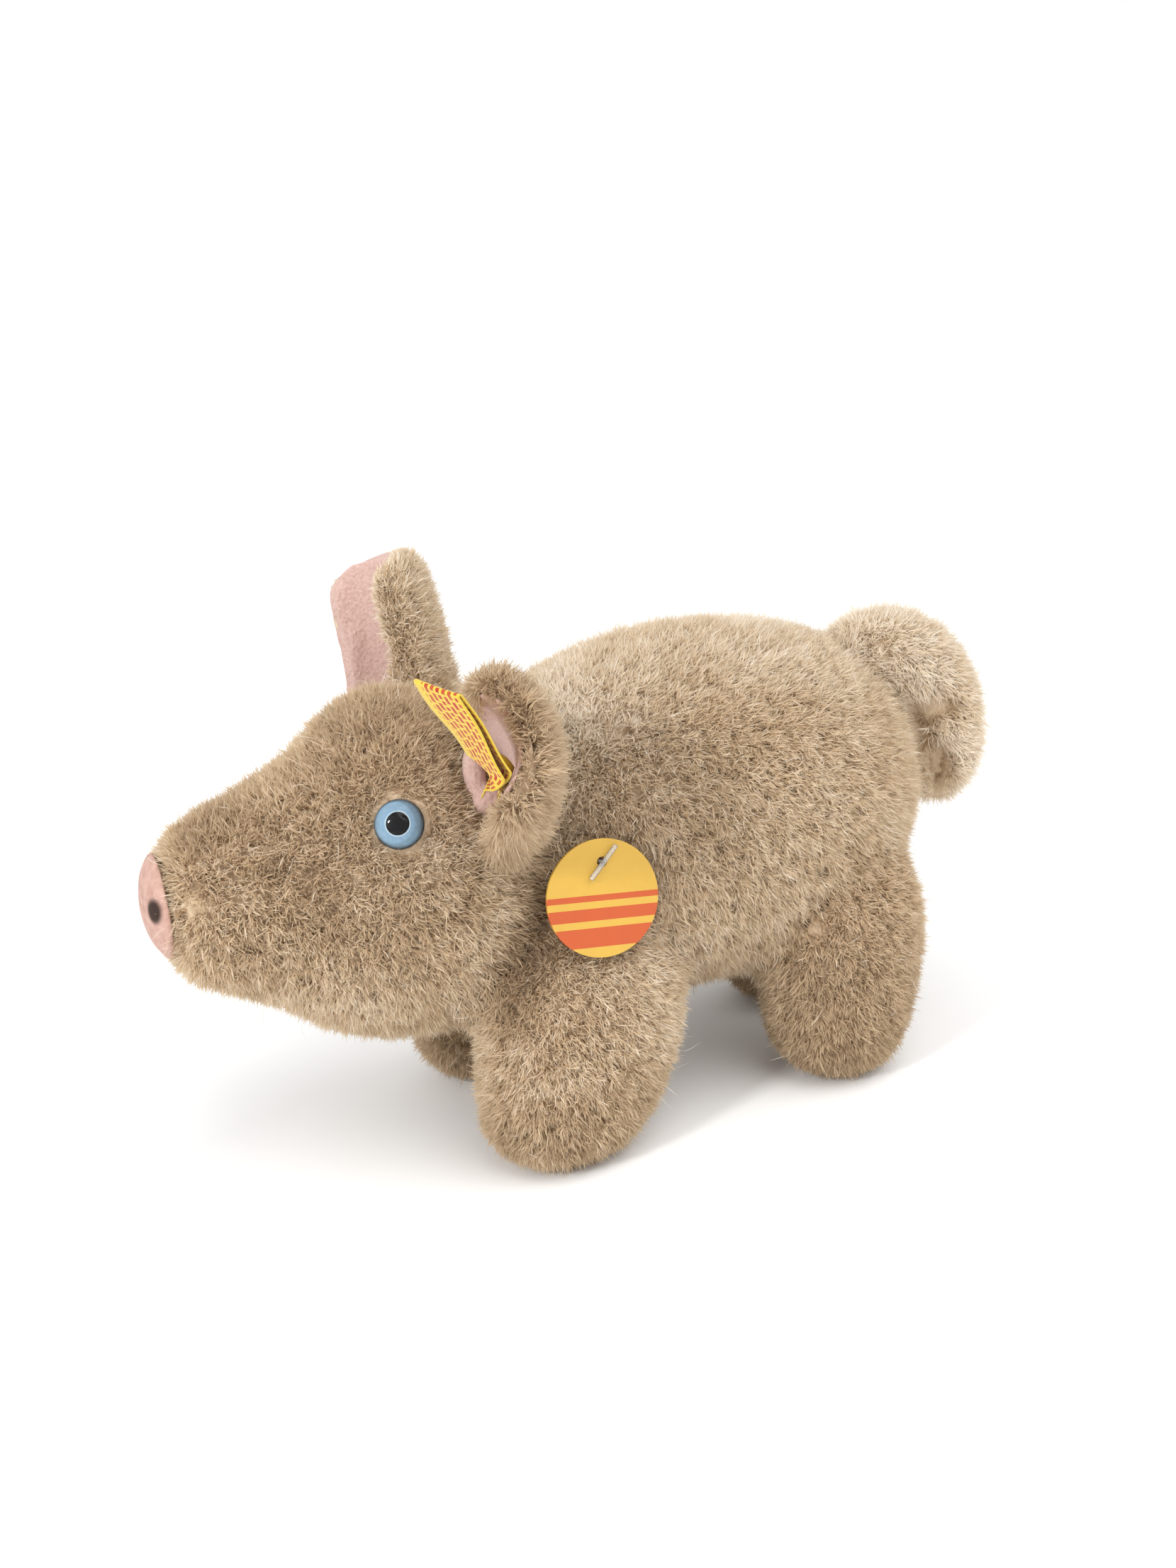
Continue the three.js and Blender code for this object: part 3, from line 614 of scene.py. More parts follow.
EYE_PARTING = 2.5 * MM
EYE_OVERLAP = 0.5 * MM
EYE_LEAN = 0.25
EYE_CLIP = 0.35
PATCH_SIZE = 3.0 * MM
PATCH_HEIGHT = 0.15
BROAD_SIZE = 15 * MM
FOLD_SHADE = 0.5
CREASE_CLIP = 0.45
LEG_SHADE_TOP = 32 * MM
# Fibres are darker at the root: painted shade deep in the pile.
ROOT_PAINTED_SHADE = (0.84, 0.79, 0.73, 1)
WHITE = (1, 1, 1, 1)
BLADE_STRIP = 0.03
PANEL_FIBRES = 98000


def unit(vectors):
    """The same vectors at length one."""
    return vectors / np.maximum(np.linalg.norm(vectors, axis=-1, keepdims=True), 1e-12)


def smooth(edge0, edge1, value):
    """0 below the first edge, 1 above the second, and an even rise between them."""
    t = np.clip((value - edge0) / (edge1 - edge0), 0, 1)
    return t * t * (3 - 2 * t)


def triples(items, field, kind=float):
    """One row of three numbers for each item of a mesh."""
    values = np.empty(len(items) * 3, kind)
    items.foreach_get(field, values)
    return values.reshape(-1, 3)


def roots_on(surface, share, density, rng):
    """Random tuft places on a surface, their normals, how free the space over them is, and the
    vertex that each is near."""
    surface.calc_loop_triangles()
    corners = triples(surface.loop_triangles, "vertices", np.int32)
    places = triples(surface.vertices, "co")
    normals = triples(surface.vertices, "normal")
    a, b, c = (places[corners[:, i]] for i in range(3))
    area = np.linalg.norm(np.cross(b - a, c - a), axis=1) / 2
    area = area * (share[corners].mean(1) > OPEN_FROM)
    count = int(area.sum() / MM**2 * density)
    chosen = rng.choice(len(area), count, p=area / area.sum())
    mix = rng.dirichlet((1, 1, 1), count)[:, :, None]
    at = corners[chosen]
    return (
        (places[at] * mix).sum(1),
        unit((normals[at] * mix).sum(1)),
        (share[at] * mix[:, :, 0]).sum(1),
        at[:, 0],
    )


def blades_mesh(name, foot, knee, tip, edge, tone):
    """One mesh of kite-shaped blades of two faces, bent at the knee. Its map has the way along a
    blade across and the blade's tone upwards. edge is half the width of each blade's knee."""
    count = len(foot)
    points = np.stack([foot, knee - edge, knee + edge, tip], 1)
    points[:, :, 2] = np.maximum(points[:, :, 2], 0)
    first = np.arange(count, dtype=np.int32)[:, None] * 4
    loops = first + np.array([0, 2, 1, 1, 2, 3], np.int32)
    mesh = bpy.data.meshes.new(name)
    mesh.vertices.add(count * 4)
    mesh.vertices.foreach_set("co", points.astype(np.float32).ravel())
    mesh.loops.add(count * 6)
    mesh.loops.foreach_set("vertex_index", loops.ravel())
    mesh.polygons.add(count * 2)
    mesh.polygons.foreach_set("loop_start", np.arange(count * 2, dtype=np.int32) * 3)
    strip = np.array([0, 1, -1, -1, 1, 0]) * BLADE_STRIP
    along = np.tile([0.02, 0.5, 0.5, 0.5, 0.5, 0.98], (count, 1))
    places = np.stack([along, tone.clip(0.04, 0.96)[:, None] + strip], 2)
    layer = mesh.uv_layers.new(name="OFBake")
    layer.uv.foreach_set("vector", places.astype(np.float32).ravel())
    mesh.update(calc_edges=True)
    mesh.shade_smooth()
    return mesh


def pile_mesh(name, tufts, rng):
    """The fibres of these tufts. tufts holds root, normal, lean, length and tone, one row for
    each tuft."""
    root, normal, lean, length, tone = (np.repeat(x, TUFT_FIBRES, 0) for x in tufts)
    count = len(root)
    side = unit(np.cross(normal, lean + rng.normal(0, 0.02, (count, 3))))
    front = np.cross(side, normal)
    angle = rng.uniform(0, 2 * np.pi, count)
    reach = TUFT_RADIUS * np.sqrt(rng.uniform(0, 1, count))
    out = reach[:, None] * (side * np.cos(angle)[:, None] + front * np.sin(angle)[:, None])
    length = (length * rng.normal(1, FIBRE_SPREAD, count).clip(*FIBRE_LENGTHS))[:, None]
    stray = rng.normal(0, FIBRE_STRAY, (count, 3))
    rise = unit(normal + KNEE_LEAN * lean + stray)
    droop = unit(normal + TIP_LEAN * lean + stray * 2)
    foot = root + out
    knee = foot - KNEE_GATHER * out + rise * length * 0.5
    tip = knee - TIP_GATHER * out + droop * length * 0.5
    turn = rng.uniform(0, np.pi, count)[:, None]
    flat = unit(np.cross(rise, side + stray))
    edge = flat * np.cos(turn) + np.cross(rise, flat) * np.sin(turn)
    width = FIBRE_WIDTH * rng.uniform(*FIBRE_WIDTHS, count)[:, None]
    tone = tone + rng.normal(0, FIBRE_TONES, count)
    return blades_mesh(name, foot, knee, tip, edge * width / 2, tone)


def pile_material(name, dark, middle, pale):
    """Plush fibres: three tones up the map, each darker at the root than at the tip, a painted
    shade deep in the pile. A thin fibre lets part of the light through."""
    material, tree, shader = new_material(
        name, Roughness=0.75, Specular_IOR_Level=0.3, Sheen_Weight=0.25, Sheen_Roughness=0.4
    )
    fibre = add_node(tree, "SeparateXYZ", own_map(tree)).outputs
    tones = add_ramp(tree, fibre["Y"], (0.05, dark), (0.5, middle), (0.95, pale))
    root_shade = add_ramp(tree, fibre["X"], (0, ROOT_PAINTED_SHADE), (0.7, WHITE))
    shade = mixed_color(tree, 1, tones.outputs["Color"], root_shade.outputs["Color"], "MULTIPLY")
    feed(tree, shader, Base_Color=shade)
    through = add_node(tree, "BsdfTranslucent", shade).outputs["BSDF"]
    both = add_node(tree, "MixShader", 0.4, shader.outputs["BSDF"], through).outputs["Shader"]
    feed(tree, tree.nodes["Material Output"], both)
    return material


def noise_at(places, size, seed):
    """Smooth noise from about -1 to 1 at these places, with patches of about that size."""
    shift = Vector((seed * 7.3, seed * 3.1, seed * 5.7))
    return np.array([noise.noise(Vector(p) / size + shift) for p in places])


def distances(tree, places, reach):
    """How far each place is from a tree of faces, up to a reach."""
    found = (tree.find_nearest(Vector(p), reach)[3] for p in places)
    return np.array([reach if d is None else d for d in found])


felt_walls = tree_of([felts[0]])
soft_rims = tree_of([felts[1], snout])
hanging_walls = tree_of(
    [nodes[n].data for n in ("hang_tag", "tag_fastener", "ear_flag", "ear_button")]
)


def tufts_on(found, seed, part, rng):
    """The tufts of a part at these places, with its style's brushing, length, tone and
    mottling."""
    place, normal, free = found
    brushed, length, tone, mottle = STYLES[part]
    free = free.clip(0, 1)
    depth = PILE_DEPTH * np.maximum(free, PRESSED_DEPTH)
    crease = np.zeros(len(place))
    if part == "tail":
        crease = free * np.array([crease_share(Vector(p)) for p in place])
    depth = depth + CREASE_DEPTH * crease
    root = place - normal * depth[:, None]
    lean = brushed(place, normal) + rng.normal(0, TUFT_STRAY, place.shape)
    tall = length * FIBRE_LENGTH * (PRESSED_SHARE + (1 - PRESSED_SHARE) * free)
    keep = np.ones(len(place), bool)
    for base, axis, radius in eyes:
        away = place - base
        away = away - (away @ axis)[:, None] * axis
        gap = np.linalg.norm(away, axis=1) - radius
        beside = np.linalg.norm(place - base, axis=1) < radius + EYE_PARTING * 2
        near = (1 - smooth(0, EYE_PARTING, gap)) * beside
        lean = lean + near[:, None] * unit(away) * EYE_LEAN
        tall = tall * (1 - EYE_CLIP * near)
        keep &= ~(beside & (gap < -EYE_OVERLAP))
    felt_gap = distances(felt_walls, place, CLIP_REACH)
    tall = tall * (CLIPPED_SHARE + (1 - CLIPPED_SHARE) * smooth(0, CLIP_REACH, felt_gap))
    keep &= felt_gap > SEAM_CLEARANCE
    rim_gap = distances(soft_rims, place, RIM_LEAN_REACH)
    keep &= rim_gap > RIM_CLEARANCE
    for k in np.flatnonzero(rim_gap < RIM_LEAN_REACH):
        nearest = soft_rims.find_nearest(place[k])[0]
        lean[k] += RIM_LEAN * unit(np.array(nearest) - place[k][None])[0]
    room = distances(hanging_walls, place, 2 * FIBRE_LENGTH)
    tall = np.minimum(tall, ROOM_SHARE * (room + depth) + ROOM_SPARE)
    lean = lean - (lean * normal).sum(1)[:, None] * normal
    lean = lean * rng.uniform(*TUFT_LEANS, len(lean))[:, None]
    patch = noise_at(place, PATCH_SIZE, seed)
    broad = noise_at(place, BROAD_SIZE, seed + 1)
    tall = tall * (1 + PATCH_HEIGHT * patch) * rng.uniform(*TUFT_LENGTHS, len(tall))
    tones = tone(place, normal) + mottle * (patch + broad)
    tones = tones + rng.normal(0, TUFT_TONES, len(tall))
    # Pile in the tail's creases and along the neck fold is painted darker: painted shade.
    neck_shade = np.array([crease_share(Vector(p), [NECK_FOLD], NECK_FOLD_REACH) for p in place])
    tones = tones - FOLD_SHADE * crease - FOLD_SHADE * neck_shade
    tall = tall * (1 - CREASE_CLIP * crease)
    return [x[keep] for x in (root, normal, lean, tall, tones)]


def brushed_by(*way):
    """The same way everywhere."""
    return lambda place, normal: np.broadcast_to(np.array(way, float), place.shape)


def body_brushed(place, normal):
    """Down the flanks, and back along the top."""
    top = smooth(0.3, 0.9, normal[:, 2:])
    return (1 - top) * np.array((0, 0.2, -0.6)) + top * np.array((0, 0.7, 0))


def even_tone(level):
    """One tone everywhere."""
    return lambda place, normal: np.full(len(place), level)


def body_tone_with_painted_light(place, normal):
    """Paler on top: its own colour and painted light. Painted light behind the near ear."""
    nape_light = np.exp(-(((place - NAPE_PAINTED_LIGHT) / NAPE_PAINTED_LIGHT_REACH) ** 2).sum(1))
    return 0.56 + 0.16 * smooth(0.4, 1, normal[:, 2]) + 0.25 * nape_light


def head_tone_with_painted_shade(place, normal):
    """Darker on top than at the cheeks: painted shade."""
    return 0.52 - 0.26 * smooth(0.45, 1, normal[:, 2])


def leg_tone_with_painted_shade(level):
    """Darker towards the sole: painted shade near the floor."""
    return lambda place, normal: level - 0.3 * (1 - smooth(0, LEG_SHADE_TOP, place[:, 2]))


# The far legs and the near hind leg are set darker than the near foreleg: painted shade.
LEG_LEVELS_WITH_PAINTED_SHADE = {
    "front_left_leg": 0.56,
    "front_right_leg": 0.4,
    "rear_left_leg": 0.42,
    "rear_right_leg": 0.4,
}
leg_brushed = brushed_by(0, 0.1, -0.6)
STYLES = {
    "body": (body_brushed, 1.0, body_tone_with_painted_light, 0.11),
    "head": (brushed_by(0, 0.5, -0.15), 0.95, head_tone_with_painted_shade, 0.19),
    **{leg: (leg_brushed, 0.9, leg_tone_with_painted_shade(level), 0.14) for leg, level in LEG_LEVELS_WITH_PAINTED_SHADE.items()},
    "tail": (brushed_by(0.1, 0.3, -0.5), 1.1, even_tone(0.78), 0.12),
    "left_ear": (brushed_by(0.1, 0.6, 0.0), 1.2, even_tone(0.28), 0.1),
    "right_ear": (brushed_by(-0.1, 0.1, 0.6), 0.95, even_tone(0.66), 0.1),
}
beige = pile_material(
    "beige_pile", (0.55, 0.41, 0.265, 1), (0.78, 0.64, 0.455, 1), (0.96, 0.90, 0.80, 1)
)

bm = bmesh.new()
for part in SOFT_PARTS:
    bm.from_mesh(nodes[part + "_plush"].data)
    bm.from_mesh(nodes[part + "_stuffing"].data)
bmesh.ops.remove_doubles(bm, verts=bm.verts, dist=JOIN_WITHIN)
bm = bmesh_of(evened(bm, COAT_VOXEL))
relax(bm, bm.verts, COAT_SMOOTHINGS)
coat = bpy.data.meshes.new("coat")
bm.to_mesh(coat)
coat_walls = tree_of([coat] + [nodes[n].data for n in ("left_ear_plush", "right_ear_plush")])
coat_share = [free_share(coat_walls, v.co, v.normal) for v in bm.verts]
for _ in range(SHARE_AVERAGINGS):
    coat_share = spread_out(bm, coat_share)
part_trees = [tree_of([nodes[part + "_plush"].data]) for part in SOFT_PARTS]
coat_owner = np.array(
    [np.argmin([walls.find_nearest(v.co)[3] for walls in part_trees]) for v in bm.verts]
)
bm.free()

rng = np.random.default_rng(20)
coat_found = roots_on(coat, np.array(coat_share), FIBRES_PER_MM2 / TUFT_FIBRES, rng)
for seed, part in enumerate(STYLES):
    if part in EARS:
        surface, share = ear_surfaces[part]
        found = roots_on(surface, share, FIBRES_PER_MM2 / TUFT_FIBRES, rng)[:3]
    else:
        own = coat_owner[coat_found[3]] == SOFT_PARTS.index(part)
        found = [x[own] for x in coat_found[:3]]
    tufts = tufts_on(found, seed * 10 + 1, part, rng)
    panels = math.ceil(len(tufts[0]) * TUFT_FIBRES / PANEL_FIBRES)
    along = np.argsort(tufts[0][:, 0])
    for k, chosen in enumerate(np.array_split(along, panels)):
        name = part + "_pile" + (f"_{k + 1}" if panels > 1 else "")
        new_piece(name, pile_mesh(name, [t[chosen] for t in tufts], rng), beige)

# Guard hairs: a few long, pale, fine fibres that stand out of the pile of the sewn parts, clear
# of the felt, the eyes, the card and the ribbon.
GUARD_HAIRS = 520
GUARD_LENGTH = 8.0 * MM
GUARD_WIDTH = 0.12 * MM
GUARD_FELT_GAP = 4 * MM
GUARD_HANGING_GAP = 9 * MM
GUARD_TONE = 0.95
GUARD_FREE_FROM = 0.8
GUARD_LENGTHS = (0.6, 1.2)
GUARD_STRAY = 0.55
GUARD_BEND = 0.5
GUARD_KNEE = 0.45
GUARD_TIP = 0.5

chosen = rng.choice(len(coat_found[0]), GUARD_HAIRS, replace=False)
place, normal = coat_found[0][chosen], coat_found[1][chosen]
free = coat_found[2][chosen] > GUARD_FREE_FROM
free &= distances(felt_walls, place, GUARD_FELT_GAP) > GUARD_FELT_GAP - MM / 10
free &= distances(hanging_walls, place, GUARD_HANGING_GAP) > GUARD_HANGING_GAP - MM / 10
for base, _, radius in eyes:
    free &= np.linalg.norm(place - base, axis=1) > 2 * radius
place, normal = place[free], normal[free]
way = unit(normal + rng.normal(0, GUARD_STRAY, place.shape))
bent = unit(way + rng.normal(0, GUARD_BEND, place.shape))
length = GUARD_LENGTH * rng.uniform(*GUARD_LENGTHS, len(place))[:, None]
knee = place + way * length * GUARD_KNEE
edge = unit(np.cross(way, bent)) * GUARD_WIDTH / 2
tip = knee + bent * length * GUARD_TIP
tones = np.full(len(place), GUARD_TONE)
guard = blades_mesh("guard_hairs", place - normal * MM, knee, tip, edge, tones)
new_piece("guard_hairs", guard, beige)

# Stuffing: loose white polyester fibre, packed in each sewn form until it is firm. It takes the
# CAD core's form, evened out.
STUFFING_VOXEL = 3 * MM
loose_fibre = noisy_material("loose_fibre", (0.78, 0.76, 0.72, 1), (0.92, 0.91, 0.88, 1), 500, 0.8)
for part in SOFT_PARTS:
    bm = bmesh_of(evened(merged_copy(part + "_stuffing"), STUFFING_VOXEL))
    core = mesh_of(bm, part + "_filling")
    filling = new_piece(part + "_filling", core, loose_fibre)
    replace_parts(filling, part + "_stuffing")

# Hang tag: a round coated card with one punched hole and a pale cut edge. It is printed yellow,
# with plain red bars that grow wider towards the foot of the card.
CARD_EDGE = 0.08 * MM
HOLE_RADIUS = 1.1 * MM
BARS = ((0.10, 0.26), (0.32, 0.42), (0.48, 0.53))
CARD_MAP_RADIUS = 0.49
EDGE_MAP_WIDTH = 0.06
CARD_STEPS = 120
HOLE_STEPS = 40
FACE_FROM = 0.9
YELLOW_INK = (0.66, 0.40, 0.06, 1)
RED_INK = (0.55, 0.095, 0.02, 1)

card_out = Vector(joints["tag_turn"]["axis"])
card_hole = Vector(joints["tag_turn"]["pos_m"])
low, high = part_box("hang_tag")
card_middle = (Vector(low) + Vector(high)) / 2
card_up = card_hole - card_middle
card_up = (card_up - card_out * card_up.dot(card_out)).normalized()
card_right = card_up.cross(card_out)
card_places = [v.co - card_middle for v in nodes["hang_tag"].data.vertices]
card_radius = max(p.dot(card_up) for p in card_places)
card_depth = max(p.dot(card_out) for p in card_places) * 2
hole_height = (card_hole - card_middle).dot(card_up)


def round_spline(curve, centre, radius, steps):
    """Adds a closed circle of straight steps to a flat curve."""
    spline = curve.splines.new("POLY")
    spline.points.add(steps - 1)
    for i, point in enumerate(spline.points):
        a = 2 * math.pi * i / steps
        point.co = (centre[0] + radius * math.cos(a), centre[1] + radius * math.sin(a), 0, 1)
    spline.use_cyclic_u = True


outline = bpy.data.curves.new("card_outline", "CURVE")
outline.dimensions = "2D"
outline.fill_mode = "BOTH"
outline.extrude = card_depth / 2 - CARD_EDGE
outline.bevel_depth = CARD_EDGE
outline.bevel_resolution = 2
round_spline(outline, (0, 0), card_radius - CARD_EDGE, CARD_STEPS)
round_spline(outline, (0, hole_height), HOLE_RADIUS + CARD_EDGE, HOLE_STEPS)
holder = bpy.data.objects.new("card_outline", outline)
card_mesh = bpy.data.meshes.new_from_object(holder)
bpy.data.objects.remove(holder)
bm = bmesh_of(card_mesh)
bmesh.ops.remove_doubles(bm, verts=bm.verts, dist=JOIN_WITHIN)
bmesh.ops.triangulate(bm, faces=[f for f in bm.faces if len(f.verts) > 4])
layer = bm.loops.layers.uv.new("OFBake")
for face in bm.faces:
    face.material_index = int(abs(face.normal.z) < FACE_FROM)
    for loop in face.loops:
        shift = face.material_index * EDGE_MAP_WIDTH * loop.vert.co.z / card_depth
        loop[layer].uv = [
            0.5 + CARD_MAP_RADIUS * c / card_radius + shift for c in loop.vert.co.xy
        ]
to_card = Matrix((card_right, card_up, card_out)).transposed().to_4x4()
bmesh.ops.transform(bm, matrix=Matrix.Translation(card_middle) @ to_card, verts=bm.verts)
bmesh.ops.recalc_face_normals(bm, faces=bm.faces)
bm.to_mesh(card_mesh)
bm.free()

card_print = noisy_material("card_print", YELLOW_INK, YELLOW_INK, 260, 0.08, 0.38, 0, 0.5)
tree = card_print.node_tree
stops = [(0, YELLOW_INK)]
for start, end in BARS:
    stops += [(start, RED_INK), (end, YELLOW_INK)]
bars = add_ramp(tree, add_node(tree, "SeparateXYZ", own_map(tree)).outputs["Y"], *stops)
bars.color_ramp.interpolation = "CONSTANT"
grains = tree.nodes["Noise Texture"].outputs["Fac"]
faded = add_ramp(tree, grains, (0, (0.86, 0.86, 0.84, 1)), (1, WHITE))
worn = mixed_color(tree, 1, bars.outputs["Color"], faded.outputs["Color"], "MULTIPLY")
feed(tree, tree.nodes["Principled BSDF"], Base_Color=worn)
card_edge = noisy_material("card_edge", (0.60, 0.44, 0.24, 1), (0.80, 0.66, 0.42, 1), 3000, 0.2)
card_mesh.materials.clear()
card_mesh.materials.append(card_print)
card_mesh.materials.append(card_edge)
card_mesh.name = "hang_tag_card"
card = new_piece("hang_tag_card", card_mesh, card_print, body="card")
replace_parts(card, "hang_tag")

# Fastener: one moulded clear nylon thread with a cross bar outside the card and an anchor bar
# inside the pig, with the corners rounded as a mould leaves them.
NYLON_VOXEL = 0.14 * MM
NYLON_SMOOTHINGS = 5
nylon = clear_material("clear_nylon", 0.72, 0.12, 1.4)
for node, body in (("tag_fastener", "fastener"), ("tag_anchor", "pig")):
    bm = bmesh_of(evened(merged_copy(node), NYLON_VOXEL))
    relax(bm, bm.verts, NYLON_SMOOTHINGS)
    thread = mesh_of(bm, node + "_nylon")
    piece = new_piece(node + "_nylon", thread, nylon, body=body)
    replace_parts(piece, node)

# Ear ribbon: one strip of woven yellow ribbon. Its tab lies under the rivet's cap, it is pinched
# there, rises, folds over at the far end and comes back to a cut, frayed end over the cap. Its
# sizes are in millimetres.
RIBBON_FORWARD = Vector((0.7337, -0.0459, 0.6780))
RIBBON_THICKNESS = 0.3
TAB = 3.0
TAB_HEIGHT = 1.0
TAB_WIDTH = 6.0
RIBBON_WIDTH = 13.2
SPAN = 26.0
RISE_DEGREES = 40
PINCH = 6.0
TWIST_DEGREES = (63, 75)
FOLD_RADIUS = 0.5
END_HEIGHT = 4.4
END_GAP = 2.4
ACROSS = 16
RUN_STEPS = 40
FOLD_STEPS = 8
RIPPLE = 0.25
RIPPLE_LENGTH = 3.1
RIPPLE_SKEW = 1.3
HOLE_REACH = 1.2
MAP_START = 0.01
MAP_SPAN = 0.98
PRINT_ROWS = 8
PRINT_REPEATS = 13
PRINT_ACROSS = (0.06, 0.82)
PRINT_ALONG = (0.12, 0.92)
ROW_GAP = 0.38
RIBBON_INK = (0.42, 0.012, 0.004, 1)

rivet_middle = Vector(joints["flag_turn"]["pos_m"])
rivet_out = Vector(joints["flag_turn"]["axis"])
rise = math.radians(RISE_DEGREES)
ribbon_along = Vector((math.cos(rise), 0, math.sin(rise)))
ribbon_over = Vector((-ribbon_along.z, 0, ribbon_along.x))
bend = Vector((TAB, 0, TAB_HEIGHT))


def on_ribbon(along, over):
    """A place on the ribbon's run past the bend, in the rivet's frame."""
    return bend + ribbon_along * along + ribbon_over * over


run = [SPAN * i / RUN_STEPS for i in range(RUN_STEPS + 1)]
turns = [math.pi * i / FOLD_STEPS for i in range(1, FOLD_STEPS)]
path = [Vector((-TAB, 0, TAB_HEIGHT)), Vector((0, 0, TAB_HEIGHT))]
path += [on_ribbon(s, 0) for s in run]
path += [
    on_ribbon(SPAN + FOLD_RADIUS * math.sin(a), FOLD_RADIUS * (1 - math.cos(a))) for a in turns
]
path += [
    on_ribbon(s, END_GAP + (2 * FOLD_RADIUS - END_GAP) * s / SPAN) for s in reversed(run[1:])
]
path += [Vector((TAB / 2, 0, END_HEIGHT)), Vector((-TAB, 0, END_HEIGHT))]
lengths = [0.0]
for a, b in zip(path, path[1:]):
    lengths.append(lengths[-1] + (b - a).length)

bm = bmesh.new()
layer = bm.loops.layers.uv.new("OFBake")
rows = []
for point in path:
    past = (point - bend).dot(ribbon_along)
    opened = eased(past / PINCH)
    half = (TAB_WIDTH + (RIBBON_WIDTH - TAB_WIDTH) * opened) / 2
    twist = math.radians(
        (TWIST_DEGREES[0] + (TWIST_DEGREES[1] - TWIST_DEGREES[0]) * past / SPAN) * opened
    )
    turned = Quaternion(ribbon_along, twist)
    row = []
    for i in range(ACROSS + 1):
        side = 2 * i / ACROSS - 1
        ripple = RIPPLE * opened * math.sin(past / RIPPLE_LENGTH + RIPPLE_SKEW * side)
        spot = point + Vector((0, side * half, 0)) + ribbon_over * ripple
        row.append(bm.verts.new(turned @ (spot - bend) + bend))
    rows.append(row)
for k in range(len(rows) - 1):
    for i in range(ACROSS):
        face = bm.faces.new((rows[k][i], rows[k][i + 1], rows[k + 1][i + 1], rows[k + 1][i]))
        for loop, (j, m) in zip(face.loops, ((i, k), (i + 1, k), (i + 1, k + 1), (i, k + 1))):
            u, v = lengths[m] / lengths[-1], j / ACROSS
            loop[layer].uv = (MAP_START + MAP_SPAN * u, MAP_START + MAP_SPAN * v)
tab_middle = Vector((0, 0, TAB_HEIGHT))
hole = [f for f in bm.faces if (f.calc_center_median() - tab_middle).length < HOLE_REACH]
bmesh.ops.delete(bm, geom=hole, context="FACES")
bmesh.ops.solidify(bm, geom=bm.faces, thickness=RIBBON_THICKNESS)
to_rivet = Matrix((RIBBON_FORWARD, rivet_out.cross(RIBBON_FORWARD), rivet_out)).transposed()
to_rivet = Matrix.Translation(rivet_middle) @ to_rivet.to_4x4() @ Matrix.Scale(MM, 4)
bmesh.ops.transform(bm, matrix=to_rivet, verts=bm.verts)
strip = mesh_of(bm, "ear_ribbon")


def between(tree, value, low, high):
    """1 where a value lies between two others, 0 elsewhere."""
    above = math_node(tree, "GREATER_THAN", value, low)
    return math_node(tree, "MULTIPLY", above, math_node(tree, "LESS_THAN", value, high))


def ribbon_material():
    """Woven yellow ribbon, printed with rows of short plain red dashes and bare along one edge."""
    material = noisy_material(
        "woven_ribbon", (0.64, 0.42, 0.03, 1), (0.78, 0.58, 0.07, 1), 2500, 0.2, 0.6, 0.2
    )
    tree = material.node_tree
    place = own_map(tree)
    dashes = add_node(
        tree,
        "TexBrick",
        place,
        (1, 1, 1, 1),
        (0.85, 0.85, 0.85, 1),
        (0, 0, 0, 1),
        Scale=1,
        Mortar_Size=0.005,
        Mortar_Smooth=0.3,
        Brick_Width=1 / (PRINT_REPEATS * 2),
        Row_Height=1 / PRINT_ROWS,
    )
    dashes.offset = 0.37
    dashes.squash = 0.62
    dashes.squash_frequency = 3
    split = add_node(tree, "SeparateXYZ", place).outputs
    printed = between(tree, split["Y"], *PRINT_ACROSS)
    printed = math_node(tree, "MULTIPLY", printed, between(tree, split["X"], *PRINT_ALONG))
    row = math_node(tree, "FRACT", math_node(tree, "MULTIPLY", split["Y"], PRINT_ROWS))
    lines = math_node(tree, "GREATER_THAN", row, ROW_GAP)
    inked = math_node(tree, "MULTIPLY", printed, lines)
    amount = add_node(tree, "SeparateColor", dashes.outputs["Color"]).outputs["Red"]
    inked = math_node(tree, "MULTIPLY", inked, amount)
    woven = tree.nodes["tone"].outputs["Color"]
    color = mixed_color(tree, inked, woven, RIBBON_INK)
    feed(tree, tree.nodes["Principled BSDF"], Base_Color=color)
    weave = add_node(tree, "TexWave", place, Scale=60, Distortion=0.4)
    weave.bands_direction = "X"
    bump = tree.nodes["Bump"]
    feed(tree, bump, Strength=0.35, Distance=MM / 8, Height=weave.outputs["Fac"])
    return material


ribbon = new_piece("ear_ribbon", strip, ribbon_material(), body="flag")
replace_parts(ribbon, "ear_flag")

# Ribbon fringe: the yellow threads that stand out of the ribbon's cut end, each a thin loose
# strand that narrows to its tip.
THREADS = 60
THREAD_INSET = 0.2
THREAD_WIDTH = 0.14
THREAD_LENGTHS = (0.8, 1.9)
THREAD_STRAY = (0.35, 0.3)

end_rng = np.random.default_rng(7)
bm = bmesh.new()
layer = bm.loops.layers.uv.new("OFBake")
for _ in range(THREADS):
    side = end_rng.uniform(-1, 1) * TAB_WIDTH / 2
    start = Vector((THREAD_INSET - TAB, side, END_HEIGHT))
    out = -end_rng.uniform(*THREAD_LENGTHS)
    stray = Vector((out, *(end_rng.normal(0, spread) for spread in THREAD_STRAY)))
    corners = [start, start + Vector((0, THREAD_WIDTH, 0)), start + stray]
    face = bm.faces.new([bm.verts.new(corner) for corner in corners])
    middle = 0.5 + 0.9 * side / TAB_WIDTH
    spots = ((0.02, middle - 0.02), (0.02, middle + 0.02), (0.98, middle))
    for loop, spot in zip(face.loops, spots):
        loop[layer].uv = spot
bmesh.ops.transform(bm, matrix=to_rivet, verts=bm.verts)
fringe = mesh_of(bm, "ear_ribbon_fringe")
yarn = noisy_material("yellow_yarn", (0.72, 0.46, 0.03, 1), (0.95, 0.75, 0.16, 1), 2500, 0.2)
new_piece("ear_ribbon_fringe", fringe, yarn, body="flag")

